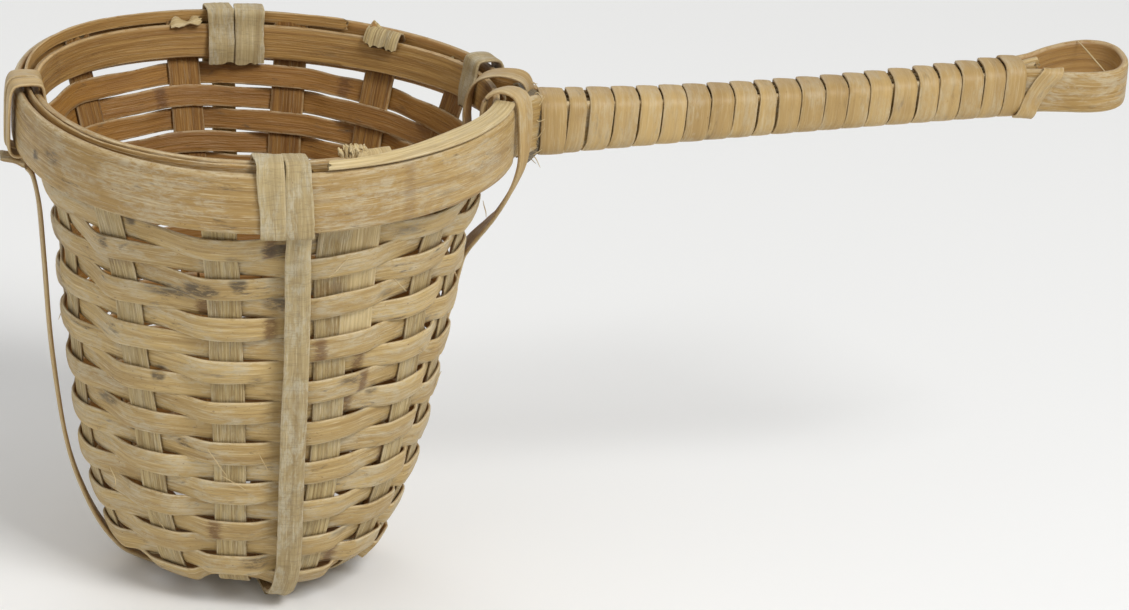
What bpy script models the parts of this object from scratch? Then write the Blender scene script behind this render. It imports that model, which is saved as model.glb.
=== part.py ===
"""Woven bamboo tea strainer: a tapered basket on a hooped rim, with a wrapped handle and end loop.

Units are metres, +Z is up and the handle runs along +X. The origin is on the basket's axis, on the
surface that the strainer stands on. Every splint is a strip swept along its own path.
"""

import math

import bpy
from mathutils import Vector

MM = 0.001

# Rim
RIM_Z = 70.0                 # top of the outer hoop
RIM_R = 35.0                 # outer face of the outer hoop, before the rim goes out of round
RIM_WAVES = ((1, 0.65, 158), (2, 0.5, -146), (3, 0.9, 20))   # lobes, swell and where, in degrees
RIM_SHRINK = 0.3
ROUND_BELOW_Z, RIM_ABOVE_Z = 25.0, 60.0   # between these the wall goes from round to the rim's shape
HOOP_T = 1.25
HOOP_H = 8.2
HOOP_BEVEL = 0.5
HOOP_GAP_R = 33.1            # middle of the space between the hoops
INNER_HOOP_T = 1.0
INNER_HOOP_INSET = 1.15      # from the middle of the stakes to the middle of the inner hoop
INNER_HOOP_H = 4.8
INNER_HOOP_Z = RIM_Z - 2.65
INNER_HOOP_TILT = 1.15       # rise at the front, fall at the back

# The wall swells on the side away from the handle, most just above the base
SWELL, SWELL_ANGLE = 0.085, 178.0
SWELL_START_Z, SWELL_FULL_Z, SWELL_END_Z = 2.9, 4.8, 60.0

# Stakes and weave
STAKE_ANGLES = (-138.5, -107.6, -79.5, -44.5, -23.5, 0, 26, 51.3, 76.4, 103.5, 133, 163, 193)
STAKE_LEAN = {0: 5.0, 1: 2.3, 2: 5.7}    # how far these turn towards the handle on the way down
LEAN_FROM_R, LEAN_TO_R = 31.0, 22.5      # wall radii between which the lean sets in
STAKE_T = 0.4
STAKE_TIP_Z = 68.9
STAKE_W_TOP = 4.8
STAKE_W_BASE = 4.2
WALL_FOOT_Z = 14.0           # below this the wall curves in to the base
BASE_Z = 2.9                 # middle of the check base
BASE_PITCH = 4.9             # from one splint of the check base to the next
CHECK_OFFSET = 0.37          # over and under at the crossings of the base
FAN_START, FAN_END = 9.2, 14.5
OVERLAY_ANGLE, OVERLAY_TOP, OVERLAY_W = -71.6, 71.0, 2.8
WEAVE_T = 0.4
WEAVE_W = 2.95
WEAVE_PITCH = 3.26
WEAVE_OFFSET = 0.75          # from the middle of a stake to the middle of a weaver
WEAVE_TOP_Z = 61.2           # row height at the second stake, one row above the first full row
WEAVE_RISE = 1.5             # how much higher the rows run at the back of the rim
WEAVE_END_MARGIN = 7.0       # stakes left bare between the check base and the last row
RISE_FROM_Z, RISE_TO_Z = 20.0, 45.0
WEAVER_COUNT = 6
EDGE_SHARE = 0.3             # a stake's edge, as a share of the step from stake to stake
EDGE_CLEARANCE = 0.35        # from a stake's edge to where a weaver starts to cross over
BASE_EDGE_CLEARANCE = 0.7    # the same under the base, where the stakes fan out askew
BASE_WEAVE_OFFSET = 0.8
BASE_FROM_Z, BASE_TO_Z = 5.0, 10.0       # between these the weave goes from under the base to wall
WEAVER_TUCK = 0.57           # how far a weaver's end is cut back under its last stake

# The middle of the stakes as radius and height, from the rim to the check base
WALL = (
    (HOOP_GAP_R, STAKE_TIP_Z), (32.95, 66.0), (32.3, 63.2), (31.25, 60.3), (28.1, 50.0),
    (26.45, 39.5), (24.5, 29.0), (22.5, 18.6), (20.0, 10.8), (17.9, 5.8), (15.2, 3.35),
    (11.8, BASE_Z), (FAN_START, BASE_Z),
)

# Straps
STRAP_T = 0.6
STRAP_W = 3.4
STRAP_TOP_R = 33.15          # where the front and back strap tucks in behind the outer hoop
STRAP_OFFSET = 1.75          # from the middle of the stakes to the middle of a strap
# Height and angle of the front strap, which slants as it falls
FRONT_STRAP = ((58.5, -89.0), (50, -87.9), (35, -86.8), (20, -85.6), (12, -84.0), (8, -83.2))
BACK_STRAP_ANGLE = 93.0

# Handle
HANDLE_FROM_X = 40.0
HANDLE_DROP = 5.2            # middle of the handle below the rim where it starts
HANDLE_SLOPE = 0.0738
HANDLE_SAG, SAG_X, SAG_REACH = 0.5, 75.0, 34.0
GRIP_H, GRIP_FLARE = 6.85, 1.8           # height at the waist, and how much more at the ends
GRIP_WAIST_X, GRIP_REACH = 77.0, 37.0
NECK_T = 0.45
GRIP_START, GRIP_END = 38.8, 106.3
GRIP_TURNS = 21
GRIP_HALF_Y = 3.45
WRAP_T = 0.4
WRAP_W = 2.8
LEG_GAP = 0.65               # from the middle of the wrap to the top of a leg inside it
HOOP_LEG_Y, HOOP_LEG_T, HOOP_LEG_END = 0.95, 1.15, 62.0
LOOP_LEG_Y, LOOP_T = 2.35, 1.0
LOOP_TILT = math.tan(math.radians(8))
CORE_START, CORE_END = 62.6, 107.5

BAMBOO = {
    "outer_skin": ((0.60, 0.47, 0.29), 0.55),
    "inner_wood": ((0.52, 0.36, 0.19), 0.65),
    "pale_cut": ((0.74, 0.63, 0.43), 0.60),
    "grey_skin": ((0.55, 0.49, 0.38), 0.70),
    "smooth_strip": ((0.68, 0.54, 0.34), 0.50),
}


def clear_scene():
    for old in list(bpy.data.objects):
        bpy.data.objects.remove(old, do_unlink=True)


def material(name, finish):
    colour, roughness = BAMBOO[finish]
    made = bpy.data.materials.new(name)
    made.use_nodes = True
    shader = made.node_tree.nodes["Principled BSDF"]
    shader.inputs["Base Color"].default_value = (*colour, 1.0)
    shader.inputs["Roughness"].default_value = roughness
    shader.inputs["Metallic"].default_value = 0.0
    return made


def smooth_path(points, spacing):
    """A Catmull-Rom curve through the points, sampled about every spacing."""
    points = [Vector(p) for p in points]
    ends = [points[0] * 2 - points[1]] + points + [points[-1] * 2 - points[-2]]
    path = [points[0]]
    for before, start, end, after in zip(ends, ends[1:], ends[2:], ends[3:]):
        steps = max(1, round((end - start).length / spacing))
        for i in range(1, steps + 1):
            t = i / steps
            path.append(0.5 * (2 * start + (end - before) * t
                               + (2 * before - 5 * start + 4 * end - after) * t * t
                               + (3 * start - before - 3 * end + after) * t ** 3))
    return path


def smoothstep(low, high, value):
    t = min(1.0, max(0.0, (value - low) / (high - low)))
    return t * t * (3 - 2 * t)


def sweep(name, finish, sections, closed=False):
    """One closed solid through a list of sections, each a list of corner points in millimetres."""
    count = len(sections[0])
    verts = [Vector(p) * MM for section in sections for p in section]
    faces = []
    for i in range(len(sections) if closed else len(sections) - 1):
        here, there = i * count, (i + 1) % len(sections) * count
        for j in range(count):
            k = (j + 1) % count
            faces.append((here + j, there + j, there + k, here + k))
    if not closed:
        last = (len(sections) - 1) * count
        faces.append(tuple(range(count)))
        faces.append(tuple(reversed(range(last, last + count))))
    centre = sum(verts, Vector()) / len(verts)
    mesh = bpy.data.meshes.new(name)
    mesh.from_pydata([v - centre for v in verts], [], faces)
    mesh.validate()
    if mesh_volume(mesh) < 0:
        mesh.flip_normals()
    mesh.shade_smooth()
    mesh.set_sharp_from_angle(angle=math.radians(40))
    mesh.materials.append(material(name + "_bamboo", finish))
    made = bpy.data.objects.new(name, mesh)
    made.location = centre
    bpy.context.collection.objects.link(made)
    return made


def mesh_volume(mesh):
    volume = 0.0
    for face in mesh.polygons:
        corners = [mesh.vertices[i].co for i in face.vertices]
        for b, c in zip(corners[1:], corners[2:]):
            volume += corners[0].dot(b.cross(c))
    return volume


def rim_shape(angle):
    """The rim goes out of round: wide at the back left, straight-sided towards the handle."""
    radius = RIM_R - RIM_SHRINK
    for lobes, swell, where in RIM_WAVES:
        radius += swell * math.cos(lobes * angle - math.radians(where))
    return radius / RIM_R


def out_of_round(angle, z):
    """The wall follows the rim's outline near the top and swells on one side lower down."""
    rim = (rim_shape(angle) - 1) * smoothstep(ROUND_BELOW_Z, RIM_ABOVE_Z, z)
    side = max(0.0, math.cos(angle - math.radians(SWELL_ANGLE))) ** 4
    low = smoothstep(SWELL_START_Z, SWELL_FULL_Z, z) * (1 - smoothstep(SWELL_FULL_Z, SWELL_END_Z, z))
    return 1 + rim + SWELL * side * low


def strip_section(middle, across, through, width, thickness):
    """The four corners of a flat strip with its width along across and its thickness along through."""
    middle = Vector(middle)
    side = Vector(across).normalized() * width / 2
    depth = Vector(through).normalized() * thickness / 2
    return [middle - side - depth, middle + side - depth, middle + side + depth, middle - side + depth]


def polar(radius, angle, z=0.0):
    return Vector((radius * math.cos(angle), radius * math.sin(angle), z))


class WallProfile:
    """The curve of the stakes by its length from the rim: radius, height and outward normal."""

    def __init__(self):
        self.points = smooth_path([(r, 0, z) for r, z in WALL], 0.8)
        self.lengths = [0.0]
        for a, b in zip(self.points, self.points[1:]):
            self.lengths.append(self.lengths[-1] + (b - a).length)
        self.total = self.lengths[-1]

    def at(self, length):
        length = min(self.total - 1e-6, max(0.0, length))
        i = max(j for j, known in enumerate(self.lengths) if known <= length)
        a, b = self.points[i], self.points[i + 1]
        t = (length - self.lengths[i]) / (b - a).length
        down = (b - a).normalized()
        place = a.lerp(b, t)
        return place.x, place.z, down

    def length_at_height(self, z):
        low, high = 0.0, self.total
        for _ in range(40):
            middle = (low + high) / 2
            if self.at(middle)[1] > z:
                low = middle
            else:
                high = middle
        return low


PROFILE = WallProfile()
STAKE_COUNT = len(STAKE_ANGLES)
# Each long splint runs from one stake place to another and crosses the base along x or along y.
LONG_SPLINTS = (
    ("x", 1, 6, 11), ("x", 0, 5, 12), ("x", -1, 4, 0),
    ("y", -1, 1, 9), ("y", 0, 2, 8), ("y", 1, 3, 7),
)
EXTRA_STAKE = 10
BENT_STAKE = 7
BENT_STAKE_TOP = 69.7


def base_line(stake):
    """The direction and sideways offset of the straight part of a stake in the check base."""
    for axis, lane, first, second in LONG_SPLINTS:
        if stake in (first, second):
            offset = lane * BASE_PITCH
            if axis == "x":
                return Vector((1 if stake == first else -1, 0, 0)), Vector((0, offset, 0)), axis, lane
            return Vector((0, -1 if stake == first else 1, 0)), Vector((offset, 0, 0)), axis, lane
    return None


def stake_angle(stake, radius):
    """A stake is radial on the wall and turns into its lane of the check base under it."""
    lean = STAKE_LEAN.get(stake, 0.0) * (1 - smoothstep(LEAN_TO_R, LEAN_FROM_R, radius))
    target = math.radians(STAKE_ANGLES[stake] + lean)
    line = base_line(stake)
    if line is None:
        return target
    direction, offset, _, _ = line
    reach = math.sqrt(max(0.0, radius ** 2 - offset.length ** 2))
    spot = direction * reach + offset
    lane_angle = math.atan2(spot.y, spot.x)
    turn = (target - lane_angle + math.pi) % (2 * math.pi) - math.pi
    return lane_angle + turn * smoothstep(FAN_START, FAN_END, radius)


def stake_frame(stake, length):
    """Middle, width direction, outward normal and width of a stake at a length from the rim."""
    radius, z, down = PROFILE.at(length)
    angle = stake_angle(stake, radius)
    outward = polar(1, angle)
    middle = polar(radius * out_of_round(angle, z), angle, z)
    ahead_radius, ahead_z, _ = PROFILE.at(length + 0.4)
    behind_radius, behind_z, _ = PROFILE.at(length - 0.4)
    along = (polar(ahead_radius, stake_angle(stake, ahead_radius), ahead_z)
             - polar(behind_radius, stake_angle(stake, behind_radius), behind_z)).normalized()
    normal = (outward * -down.z + Vector((0, 0, down.x))).normalized()
    across = normal.cross(along).normalized()
    width = STAKE_W_BASE + (STAKE_W_TOP - STAKE_W_BASE) * min(1.0, max(0.0, (z - 5) / 60))
    return middle, across, normal, width


def stake_lengths():
    """Places along a stake: close together round the lower edge, wider apart up the wall."""
    edge = PROFILE.length_at_height(WALL_FOOT_Z)
    wall = [edge * i / 9 for i in range(9)]
    turn = [edge + (PROFILE.total - edge) * i / 10 for i in range(11)]
    return wall + turn


def bent_tip(angle, top, width):
    """Sections of a tip that comes up between the hoops and leans in over the inner one."""
    across = polar(1, angle + math.pi / 2)
    shape = rim_shape(angle)
    sections = []
    for radius, z, normal in ((HOOP_GAP_R - 1.0, top + 1.1, polar(0.8, angle, 0.6)),
                              (HOOP_GAP_R - 0.15, top, polar(0.9, angle, 0.4))):
        sections.append(strip_section(polar(radius * shape, angle, z), across, normal, width,
                                      STAKE_T))
    return sections


def stake_half(stake):
    """Sections of one stake, from its tip at the rim to the edge of the check base."""
    sections = []
    if stake == BENT_STAKE:
        sections = bent_tip(math.radians(STAKE_ANGLES[stake]), BENT_STAKE_TOP, STAKE_W_TOP)
    for length in stake_lengths():
        middle, across, normal, width = stake_frame(stake, length)
        sections.append(strip_section(middle, across, normal, width, STAKE_T))
    return sections


def base_crossings(axis, lane, first):
    """Sections of a long splint across the check base, going over one lane and under the next."""
    direction, offset, _, _ = base_line(first)
    inward = -direction
    across = Vector((0, 0, -1)).cross(inward)
    sections = []
    for crossing in (-1, 0, 1):
        over = 1 if (lane + crossing) % 2 == 0 else -1
        if axis == "y":
            over = -over
        for edge in (-1, 1):
            along = inward * (crossing * BASE_PITCH + edge * (STAKE_W_BASE / 2 + 0.15))
            middle = offset + along + Vector((0, 0, BASE_Z + over * CHECK_OFFSET))
            sections.append(strip_section(middle, across, (0, 0, -1), STAKE_W_BASE, STAKE_T))
    return sections


def turned(section):
    """The same section seen by a strip that runs the other way."""
    return [section[1], section[0], section[3], section[2]]


def make_stakes():
    for number, (axis, lane, first, second) in enumerate(LONG_SPLINTS, 1):
        down = stake_half(first)
        across = base_crossings(axis, lane, first)
        up = [turned(section) for section in reversed(stake_half(second))]
        sweep(f"stake_splint_{number}", "outer_skin", down + across + up)
    sweep("stake_short", "outer_skin", stake_half(EXTRA_STAKE)[:-2])


def make_stake_overlay():
    """The short splint beside one front stake, its tip bent in over the inner hoop."""
    angle = math.radians(OVERLAY_ANGLE)
    across = polar(1, angle + math.pi / 2)
    sections = bent_tip(angle, OVERLAY_TOP, OVERLAY_W)
    for z in (STAKE_TIP_Z, 66.5, 64.6, 62.5, 60.2):
        length = PROFILE.length_at_height(z)
        radius, height, down = PROFILE.at(length)
        middle = polar(radius * out_of_round(angle, height), angle, height)
        normal = polar(-down.z, angle, down.x)
        sections.append(strip_section(middle, across, normal, OVERLAY_W, STAKE_T))
    sweep("stake_overlay", "pale_cut", sections)


def weaver_section(place, side):
    """A section of the spiral at a stake place, on the stake's left or right edge.

    Places count on round the basket and up the wall. Odd places pass inside their stake.
    """
    stake = place % STAKE_COUNT
    length = WEAVE_START + WEAVE_PITCH * (1 - place - side * EDGE_SHARE) / STAKE_COUNT
    at_back = max(0.0, math.sin(math.radians(STAKE_ANGLES[stake])))
    length -= WEAVE_RISE * at_back * smoothstep(RISE_FROM_Z, RISE_TO_Z, PROFILE.at(length)[1])
    middle, across, normal, width = stake_frame(stake, length)
    if across.dot(polar(1, math.atan2(middle.y, middle.x) + math.pi / 2)) < 0:
        across = -across
    _, _, down = PROFILE.at(length)
    along = down.x * polar(1, math.atan2(middle.y, middle.x)) + Vector((0, 0, down.z))
    under = 1 - smoothstep(BASE_FROM_Z, BASE_TO_Z, middle.z)
    reach = WEAVE_OFFSET + (BASE_WEAVE_OFFSET - WEAVE_OFFSET) * under
    clearance = EDGE_CLEARANCE + (BASE_EDGE_CLEARANCE - EDGE_CLEARANCE) * under
    offset = reach if place % 2 == 0 else -reach
    spot = middle + across * side * (width / 2 + clearance) + normal * offset
    return strip_section(spot, along, normal, WEAVE_W, WEAVE_T)


def make_weavers():
    """The spiral as splints end to end, each starting and ending hidden inside a stake."""
    covered = PROFILE.total - WEAVE_START - WEAVE_W / 2 - WEAVE_END_MARGIN
    lowest = 1 - int(covered / WEAVE_PITCH * STAKE_COUNT)
    lowest -= 1 - lowest % 2
    per_weaver = 2 * round((TOP_PLACE - lowest) / WEAVER_COUNT / 2)
    top = TOP_PLACE
    for number in range(1, WEAVER_COUNT + 1):
        bottom = lowest if number == WEAVER_COUNT else top - per_weaver
        sections = []
        for place in range(bottom, top + 1):
            for side in (-1, 1):
                sections.append(weaver_section(place, side))
        sections[0] = halfway(sections[0], sections[1], WEAVER_TUCK)
        sections[-1] = halfway(sections[-1], sections[-2], WEAVER_TUCK)
        sweep(f"weaver_{number}", "outer_skin", sections)
        top = bottom


def halfway(section, other, share):
    return [Vector(a).lerp(Vector(b), share) for a, b in zip(section, other)]


WEAVE_START = PROFILE.length_at_height(WEAVE_TOP_Z)
TOP_PLACE = -1


def make_outer_hoop():
    """One strip round the rim, its two ends turned out side by side into the handle."""
    middle_r = RIM_R - HOOP_T / 2
    legs = [Vector((x, HOOP_LEG_Y, 0)) for x in (HOOP_LEG_END, 54, 46, 40.5)]
    legs += [Vector((38.6, 1.35, 0)), Vector((37.1, 2.7, 0)), Vector((35.5, 4.9, 0))]
    first, last = math.radians(12), math.radians(348)
    steps = 64
    path = list(legs)
    for i in range(steps + 1):
        angle = first + (last - first) * i / steps
        path.append(polar(middle_r * rim_shape(angle), angle))
    path += [Vector((p.x, -p.y, 0)) for p in reversed(legs)]
    sections = []
    for i, spot in enumerate(path):
        along = (path[min(i + 1, len(path) - 1)] - path[max(i - 1, 0)]).normalized()
        through = Vector((along.y, -along.x, 0))
        in_handle = smoothstep(35.5, 39.5, spot.x)
        leg_middle, leg_half = handle_middle(spot.x), handle_half_height(spot.x) - LEG_GAP
        top = RIM_Z + (leg_middle + leg_half - RIM_Z) * in_handle
        bottom = RIM_Z - HOOP_H + (leg_middle - leg_half - RIM_Z + HOOP_H) * in_handle
        thick = HOOP_T + (HOOP_LEG_T - HOOP_T) * in_handle
        side = through * thick / 2
        sections.append([
            spot - side + Vector((0, 0, bottom)), spot + side + Vector((0, 0, bottom)),
            spot + side + Vector((0, 0, top - HOOP_BEVEL)), spot + side * 0.3 + Vector((0, 0, top)),
            spot - side * 0.3 + Vector((0, 0, top)), spot - side + Vector((0, 0, top - HOOP_BEVEL)),
        ])
    sweep("outer_hoop", "outer_skin", sections)


def make_inner_hoop():
    """A lower strip that leans in with the wall, risen at the front and sunk at the back."""
    sections = []
    steps = 48
    for i in range(steps):
        angle = 2 * math.pi * i / steps
        middle_z = inner_hoop_middle(angle)
        low = inner_hoop_point(angle, middle_z - INNER_HOOP_H / 2)
        high = inner_hoop_point(angle, middle_z + INNER_HOOP_H / 2)
        lean = high - low
        through = Vector((lean.z * math.cos(angle), lean.z * math.sin(angle), -lean.xy.length))
        sections.append(strip_section((low + high) / 2, lean, through, lean.length, INNER_HOOP_T))
    sweep("inner_hoop", "inner_wood", sections, closed=True)


def inner_hoop_middle(angle):
    return INNER_HOOP_Z - INNER_HOOP_TILT * math.sin(angle)


def inner_hoop_point(angle, z, inset=INNER_HOOP_INSET):
    """A point a little inside the stakes, at the height z."""
    radius = PROFILE.at(PROFILE.length_at_height(min(z, STAKE_TIP_Z)))[0]
    return polar((radius - inset) * rim_shape(angle), angle, z)


def make_rim_filler():
    """A thin strip on edge between the hoops, round the left and the back."""
    sections = []
    steps = 36
    for i in range(steps + 1):
        angle = math.radians(-87 - 211 * i / steps)
        middle = polar(HOOP_GAP_R * rim_shape(angle), angle, RIM_Z - 0.1)
        sections.append(strip_section(middle, (0, 0, 1), polar(1, angle), 1.2, 0.4))
    sweep("rim_filler", "inner_wood", sections)


def make_rim_cover():
    """The pale strip that lies flat over the front right of the rim and narrows to the bindings."""
    sections = []
    steps = 16
    for i in range(steps + 1):
        share = i / steps
        angle = math.radians(-16 - 67.5 * share)
        width = 2.4 - 1.35 * smoothstep(0.35, 0.75, share)
        outer = (RIM_R - 0.05) * rim_shape(angle)
        inner_top = inner_hoop_middle(angle) + INNER_HOOP_H / 2
        high = polar(outer - width, angle, max(inner_top, RIM_Z) + 0.55)
        low = polar(outer, angle, RIM_Z + 0.55)
        through = polar(high.z - low.z, angle, width)
        sections.append(strip_section((low + high) / 2, high - low, through, width, 0.4))
    sweep("rim_cover", "pale_cut", sections)


def lap(name, finish, angle, width, lean=0.0, spread=0.0, rise=0.0):
    """One lap of a binding over both hoops, open under the rim where it passes into the wall.

    The lean shifts the lap sideways as it comes down outside. The spread and the rise make it
    stand off the hoops.
    """
    turn = math.radians(angle)
    inner_top = inner_hoop_middle(turn) + INNER_HOOP_H / 2
    inset = INNER_HOOP_INSET + INNER_HOOP_T / 2 + 0.65
    low = inner_hoop_point(turn, inner_top - INNER_HOOP_H - 0.6, inset).xy.length
    high = inner_hoop_point(turn, inner_top, inset).xy.length
    outer = RIM_R * rim_shape(turn) + 0.65 + spread
    crest = max(inner_top, RIM_Z) + 1.15 + rise
    under = RIM_Z - HOOP_H - 0.8
    route = (
        (low, inner_top - INNER_HOOP_H - 0.6, 0), (high, inner_top - 0.3, 0),
        (high + 0.3, (inner_top + crest) / 2 + 0.3, 0), (high + 1.3, crest, 0.1),
        (outer - 1.4, crest, 0.25), (outer - 0.35, crest - 0.45, 0.35), (outer, RIM_Z - 1.2, 0.45),
        (outer, under + 1.2, 0.95), (outer - 0.6, under + 0.05, 1.0), (outer - 1.6, under, 1.0),
    )
    middles = []
    for radius, z, share in route:
        shifted = turn + lean * share / RIM_R
        middles.append((polar(radius, shifted, z), shifted))
    sections = []
    for i, (middle, shifted) in enumerate(middles):
        along = middles[min(i + 1, len(middles) - 1)][0] - middles[max(i - 1, 0)][0]
        across = polar(1, shifted + math.pi / 2)
        sections.append(strip_section(middle, across, along.cross(across), width, 0.4))
    sweep(name, finish, sections)


def make_bindings():
    lap("front_binding_1", "grey_skin", -97.6, 3.0, lean=1.2)
    lap("front_binding_2", "grey_skin", -90.6, 3.4, lean=0.5)
    lap("back_binding_1", "smooth_strip", 94.4, 3.4)
    lap("back_binding_2", "smooth_strip", 87.3, 3.4)
    lap("left_binding_1", "smooth_strip", 182.0, 2.8, spread=0.5)
    lap("left_binding_2", "smooth_strip", 175.8, 2.8, spread=0.5)
    lap("handle_binding_1", "smooth_strip", 0.8, 2.6, spread=0.8, rise=0.8)
    lap("handle_binding_2", "grey_skin", 15.6, 3.2, spread=0.3, rise=0.2)


def wall_point(angle, length, offset):
    radius, z, down = PROFILE.at(length)
    normal = polar(-down.z, angle, down.x)
    return polar(radius * out_of_round(angle, z), angle, z) + normal * offset


def strap_sections(path, across):
    sections = []
    for i, spot in enumerate(path):
        along = (path[min(i + 1, len(path) - 1)] - path[max(i - 1, 0)]).normalized()
        side = across(i / (len(path) - 1)) if callable(across) else Vector(across)
        side = (side - along * side.dot(along)).normalized()
        sections.append(strip_section(spot, side, side.cross(along), STRAP_W, STRAP_T))
    return sections


def upright_strap(places):
    """The path of a strap from the rim down the wall and in under the base."""
    top, low = math.radians(places[0][1]), math.radians(places[-1][1])
    tucked = STRAP_TOP_R * rim_shape(top)
    path = [polar(tucked, top, 64.6), polar(tucked, top, 61.8)]
    for z, degrees in places:
        path.append(wall_point(math.radians(degrees), PROFILE.length_at_height(z), STRAP_OFFSET))
    for z in (5, 3.4):
        path.append(wall_point(low, PROFILE.length_at_height(z), STRAP_OFFSET))
    path.append(polar(12.5, low, 1.2))
    return smooth_path(path[:6], 4.0)[:-1] + smooth_path(path[5:], 1.6)


def make_front_back_strap():
    """The rib down the front, under the base and up the back, held at the rim by the bindings."""
    back = [(z, BACK_STRAP_ANGLE) for z, _ in FRONT_STRAP]
    path = upright_strap(FRONT_STRAP) + list(reversed(upright_strap(back)))
    sweep("strap_front_back", "grey_skin", strap_sections(path, (1, 0, 0)))


def make_side_strap():
    """From a loose loop over the rim by the handle, down, under the base and up the left side."""
    loop = [(28.9, -6.8, 66.2), (28.9, -7.0, 70.0), (29.8, -7.3, 71.8), (31.7, -7.9, 72.4),
            (33.5, -8.6, 71.6), (34.1, -9.2, 69.6), (34.2, -9.3, 65.5), (34.2, -9.1, 62.4),
            (33.8, -8.0, 60.2), (32.7, -5.2, 57.4), (31.3, -1.6, 53.6)]
    places = ((49, 3.5), (42, 7.0), (32, 9.0), (22, 9.0), (12, 9.0), (8, 9.0), (5.4, 9.0))
    down = [wall_point(math.radians(degrees), PROFILE.length_at_height(z), STRAP_OFFSET)
            for z, degrees in places]
    under = [(17.2, 1.8, 1.9), (14.2, 0.6, 0.35)]
    left = [(-14.2, 0, 0.35), (-17.8, 0, 2.0), (-21.3, 0, 6.0), (-24.4, 0, 12.4), (-26.6, 0, 20.0),
            (-28.6, 0, 33.0), (-29.7, 0, 45.0), (-30.6, 0, 54.0), (-31.9, 0, 58.6),
            (-33.6, 0.2, 59.9), (-35.2, 0.2, 60.3)]
    floor = STRAP_T / 2
    path = smooth_path([Vector(p) for p in loop] + down + [Vector(p) for p in under], 3.0)
    path += [Vector((13.0, 0, floor)), Vector((4.5, 0, floor)), Vector((-4.5, 0, floor)),
             Vector((-13.0, 0, floor))]
    path += smooth_path([Vector(p) for p in left], 3.0)

    def across(share):
        turn = 1 - smoothstep(0.08, 0.3, share)
        return polar(1, math.radians(90 - 22 * turn))
    sweep("strap_side", "smooth_strip", strap_sections(path, across))


def handle_middle(x):
    """The handle rises from the rim towards its loop and sags a little half-way."""
    sag = HANDLE_SAG * max(0.0, 1 - ((x - SAG_X) / SAG_REACH) ** 2)
    return RIM_Z - HANDLE_DROP + (x - HANDLE_FROM_X) * HANDLE_SLOPE - sag


def handle_half_height(x):
    """Half the height of the grip at the middle of its wrap: waisted half-way along."""
    away = (x - GRIP_WAIST_X) / GRIP_REACH
    return (GRIP_H + GRIP_FLARE * away ** 2) / 2 - WRAP_T / 2


def make_neck():
    """The sleeve of fibres round the hoop's ends, between the rim and the first turn of the wrap."""
    sections = []
    for x, half_y, half_z in ((37.5, 3.5, 4.8), (38.0, 3.0, 4.5), (38.4, 2.7, 4.3)):
        ring = []
        for shell in (NECK_T, 0.0):
            middle = Vector((x, 0, handle_middle(x)))
            ring.append([middle + Vector((0, y * (half_y + shell), z * (half_z + shell)))
                         for y, z in octagon(0.12)])
        sections.append(ring)
    wrapped = [s[0] for s in sections] + [s[1] for s in reversed(sections)]
    sweep("neck_fibres", "grey_skin", wrapped, closed=True)


def octagon(corner):
    """A square of half width 1 with its corners cut."""
    near = 1 - corner
    return ((-1, -near), (-1, near), (-near, 1), (near, 1), (1, near), (1, -near), (near, -1),
            (-near, -1))


def make_grip_wrap():
    """One strip wound round the handle: up the front, back over the top and down behind."""
    corners = octagon(0.2)
    sections = []
    for step in range(GRIP_TURNS * len(corners) + 1):
        y, z = corners[step % len(corners)]
        x = GRIP_START + WRAP_W / 2 + (GRIP_END - GRIP_START - WRAP_W) * step / (GRIP_TURNS * len(corners))
        middle = Vector((x, y * GRIP_HALF_Y, handle_middle(x) + z * handle_half_height(x)))
        outward = Vector((0, round(y * 0.75) if abs(y) == 1 else y * 0.5,
                          round(z * 0.75) if abs(z) == 1 else z * 0.5))
        sections.append(strip_section(middle, (1, 0, 0), outward, WRAP_W, WRAP_T))
    sweep("handle_wrap", "smooth_strip", sections)


def loop_point(x, y):
    return Vector((x, y, handle_middle(x) + 0.35 * smoothstep(106, 114, x) + y * LOOP_TILT))


def make_loop_strip():
    """One strip bent into a U: its legs lie inside the wrap, its bend is the hanging loop."""
    side = [(40.0, LOOP_LEG_Y), (62, LOOP_LEG_Y), (84, LOOP_LEG_Y), (104, LOOP_LEG_Y)]
    bend = [(104, LOOP_LEG_Y), (108, 2.8), (112, 4.0), (116, 4.9), (119.2, 4.3), (120.9, 2.4),
            (121.3, 0)]
    curve = smooth_path([(x, y, 0) for x, y in bend], 1.6)
    half = [Vector((x, y, 0)) for x, y in side[:-1]] + curve
    path = half + [Vector((p.x, -p.y, 0)) for p in reversed(half[:-1])]
    sections = []
    for i, spot in enumerate(path):
        along = (path[min(i + 1, len(path) - 1)] - path[max(i - 1, 0)]).normalized()
        through = Vector((along.y, -along.x, 0))
        tilt = smoothstep(106, 112, spot.x)
        inside = handle_half_height(spot.x) - LEG_GAP
        half_height = inside + (2.95 - inside) * smoothstep(106.6, 110, spot.x)
        middle = loop_point(spot.x, spot.y * tilt)
        middle.y = spot.y
        sections.append(strip_section(middle, (0, 0, 1), through, half_height * 2, LOOP_T))
    sweep("handle_loop_strip", "smooth_strip", sections)


def make_core():
    sections = []
    for x in (CORE_START, 80, 95, CORE_END):
        half = handle_half_height(x) - LEG_GAP - 0.15
        sections.append(strip_section((x, 0, handle_middle(x)), (0, 0, 1), (0, 1, 0), half * 2, 2.6))
    sweep("handle_core", "pale_cut", sections)


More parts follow.
